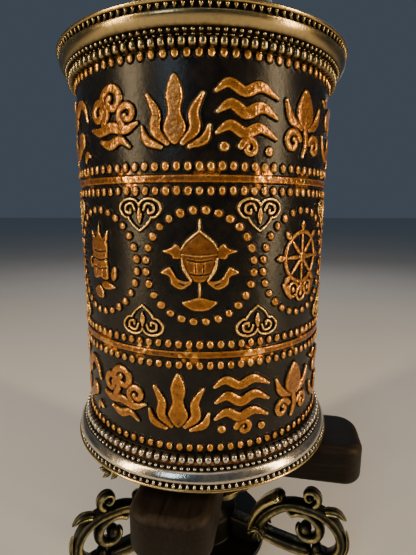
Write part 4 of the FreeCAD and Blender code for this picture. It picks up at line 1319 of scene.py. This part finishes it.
def floor():
    """A plain pale floor; its reach is metres."""
    finish = Finish("pale_floor", roughness=0.75)
    finish.set(base_color=finish.mix(finish.noise(90.0, 3), (0.62, 0.62, 0.62), (0.68, 0.68, 0.67)))
    finish.bump(finish.noise(1.5, 2), 0.05)
    mesh = bpy.data.meshes.new("floor")
    corners = [(x * FLOOR_REACH, y * FLOOR_REACH, 0) for x, y in ((-1, -1), (1, -1), (1, 1), (-1, 1))]
    mesh.from_pydata(corners, [], [(0, 1, 2, 3)])
    mesh.materials.append(finish.material)
    ground = bpy.data.objects.new("floor", mesh)
    bpy.context.scene.collection.objects.link(ground)


def aim(thing, target):
    """Turn a lamp towards a spot."""
    direction = Vector(target) - thing.location
    thing.rotation_euler = direction.to_track_quat("-Z", "Y").to_euler()


def soft_light(name, place, target, size, power, colour):
    """A rectangular soft light; places are metres."""
    lamp = bpy.data.lights.new(name, "AREA")
    lamp.shape = "RECTANGLE"
    lamp.size, lamp.size_y = size
    lamp.energy = power
    lamp.color = colour
    holder = bpy.data.objects.new(name, lamp)
    holder.location = place
    bpy.context.scene.collection.objects.link(holder)
    aim(holder, target)


def surroundings():
    """A dim, even, cool sky for the studio."""
    world = bpy.data.worlds.new("studio")
    bpy.context.scene.world = world
    world.use_nodes = True
    background = world.node_tree.nodes["Background"]
    background.inputs["Color"].default_value = (0.40, 0.52, 0.68, 1)
    background.inputs["Strength"].default_value = 0.13


# the photographer's phone, as fitted to the rims; the angles are radians
LENS = 24.59
EYE = Vector((0, -152.3, 155.6)) * MM
LOOK_RIGHT = math.radians(0.79)
LOOK_DOWN = math.radians(10.37)
ROLL = math.radians(0.12)
STAND_LEFT = math.radians(-2)


def camera():
    """Just in front of the drum and a little above its middle, looking slightly down."""
    lens = bpy.data.cameras.new("camera")
    lens.lens = LENS
    lens.sensor_width = 36
    lens.clip_start = 0.005
    level = math.cos(LOOK_DOWN)
    forward = Vector((math.sin(LOOK_RIGHT) * level, math.cos(LOOK_RIGHT) * level, -math.sin(LOOK_DOWN)))
    spin = Matrix.Rotation(STAND_LEFT, 3, "Z")
    holder = bpy.data.objects.new("camera", lens)
    turn = (spin @ forward).to_track_quat("-Z", "Y").to_matrix() @ Matrix.Rotation(ROLL, 3, "Z")
    holder.matrix_world = Matrix.Translation(spin @ EYE) @ turn.to_4x4()
    bpy.context.scene.collection.objects.link(holder)
    bpy.context.scene.camera = holder


floor()
surroundings()
soft_light("left_light", (-0.55, -0.30, 0.36), (0, 0, 0.14), (0.05, 0.7), 5.6, (1.0, 0.74, 0.42))
soft_light("right_light", (0.52, -0.30, 0.30), (0, 0, 0.14), (0.05, 0.6), 5.0, (1.0, 0.72, 0.40))
soft_light("window_light", (-0.30, -0.56, 0.46), (0, 0, 0.17), (0.08, 0.34), 0.8, (0.60, 0.80, 1.0))
soft_light("top_light", (0.0, -0.25, 0.85), (0, 0, 0.12), (0.5, 0.3), 0.6, (1.0, 0.95, 0.88))
soft_light("back_light", (0.1, 0.7, 0.55), (0, 0, 0.15), (0.8, 0.5), 0.9, (0.80, 0.88, 1.0))
camera()
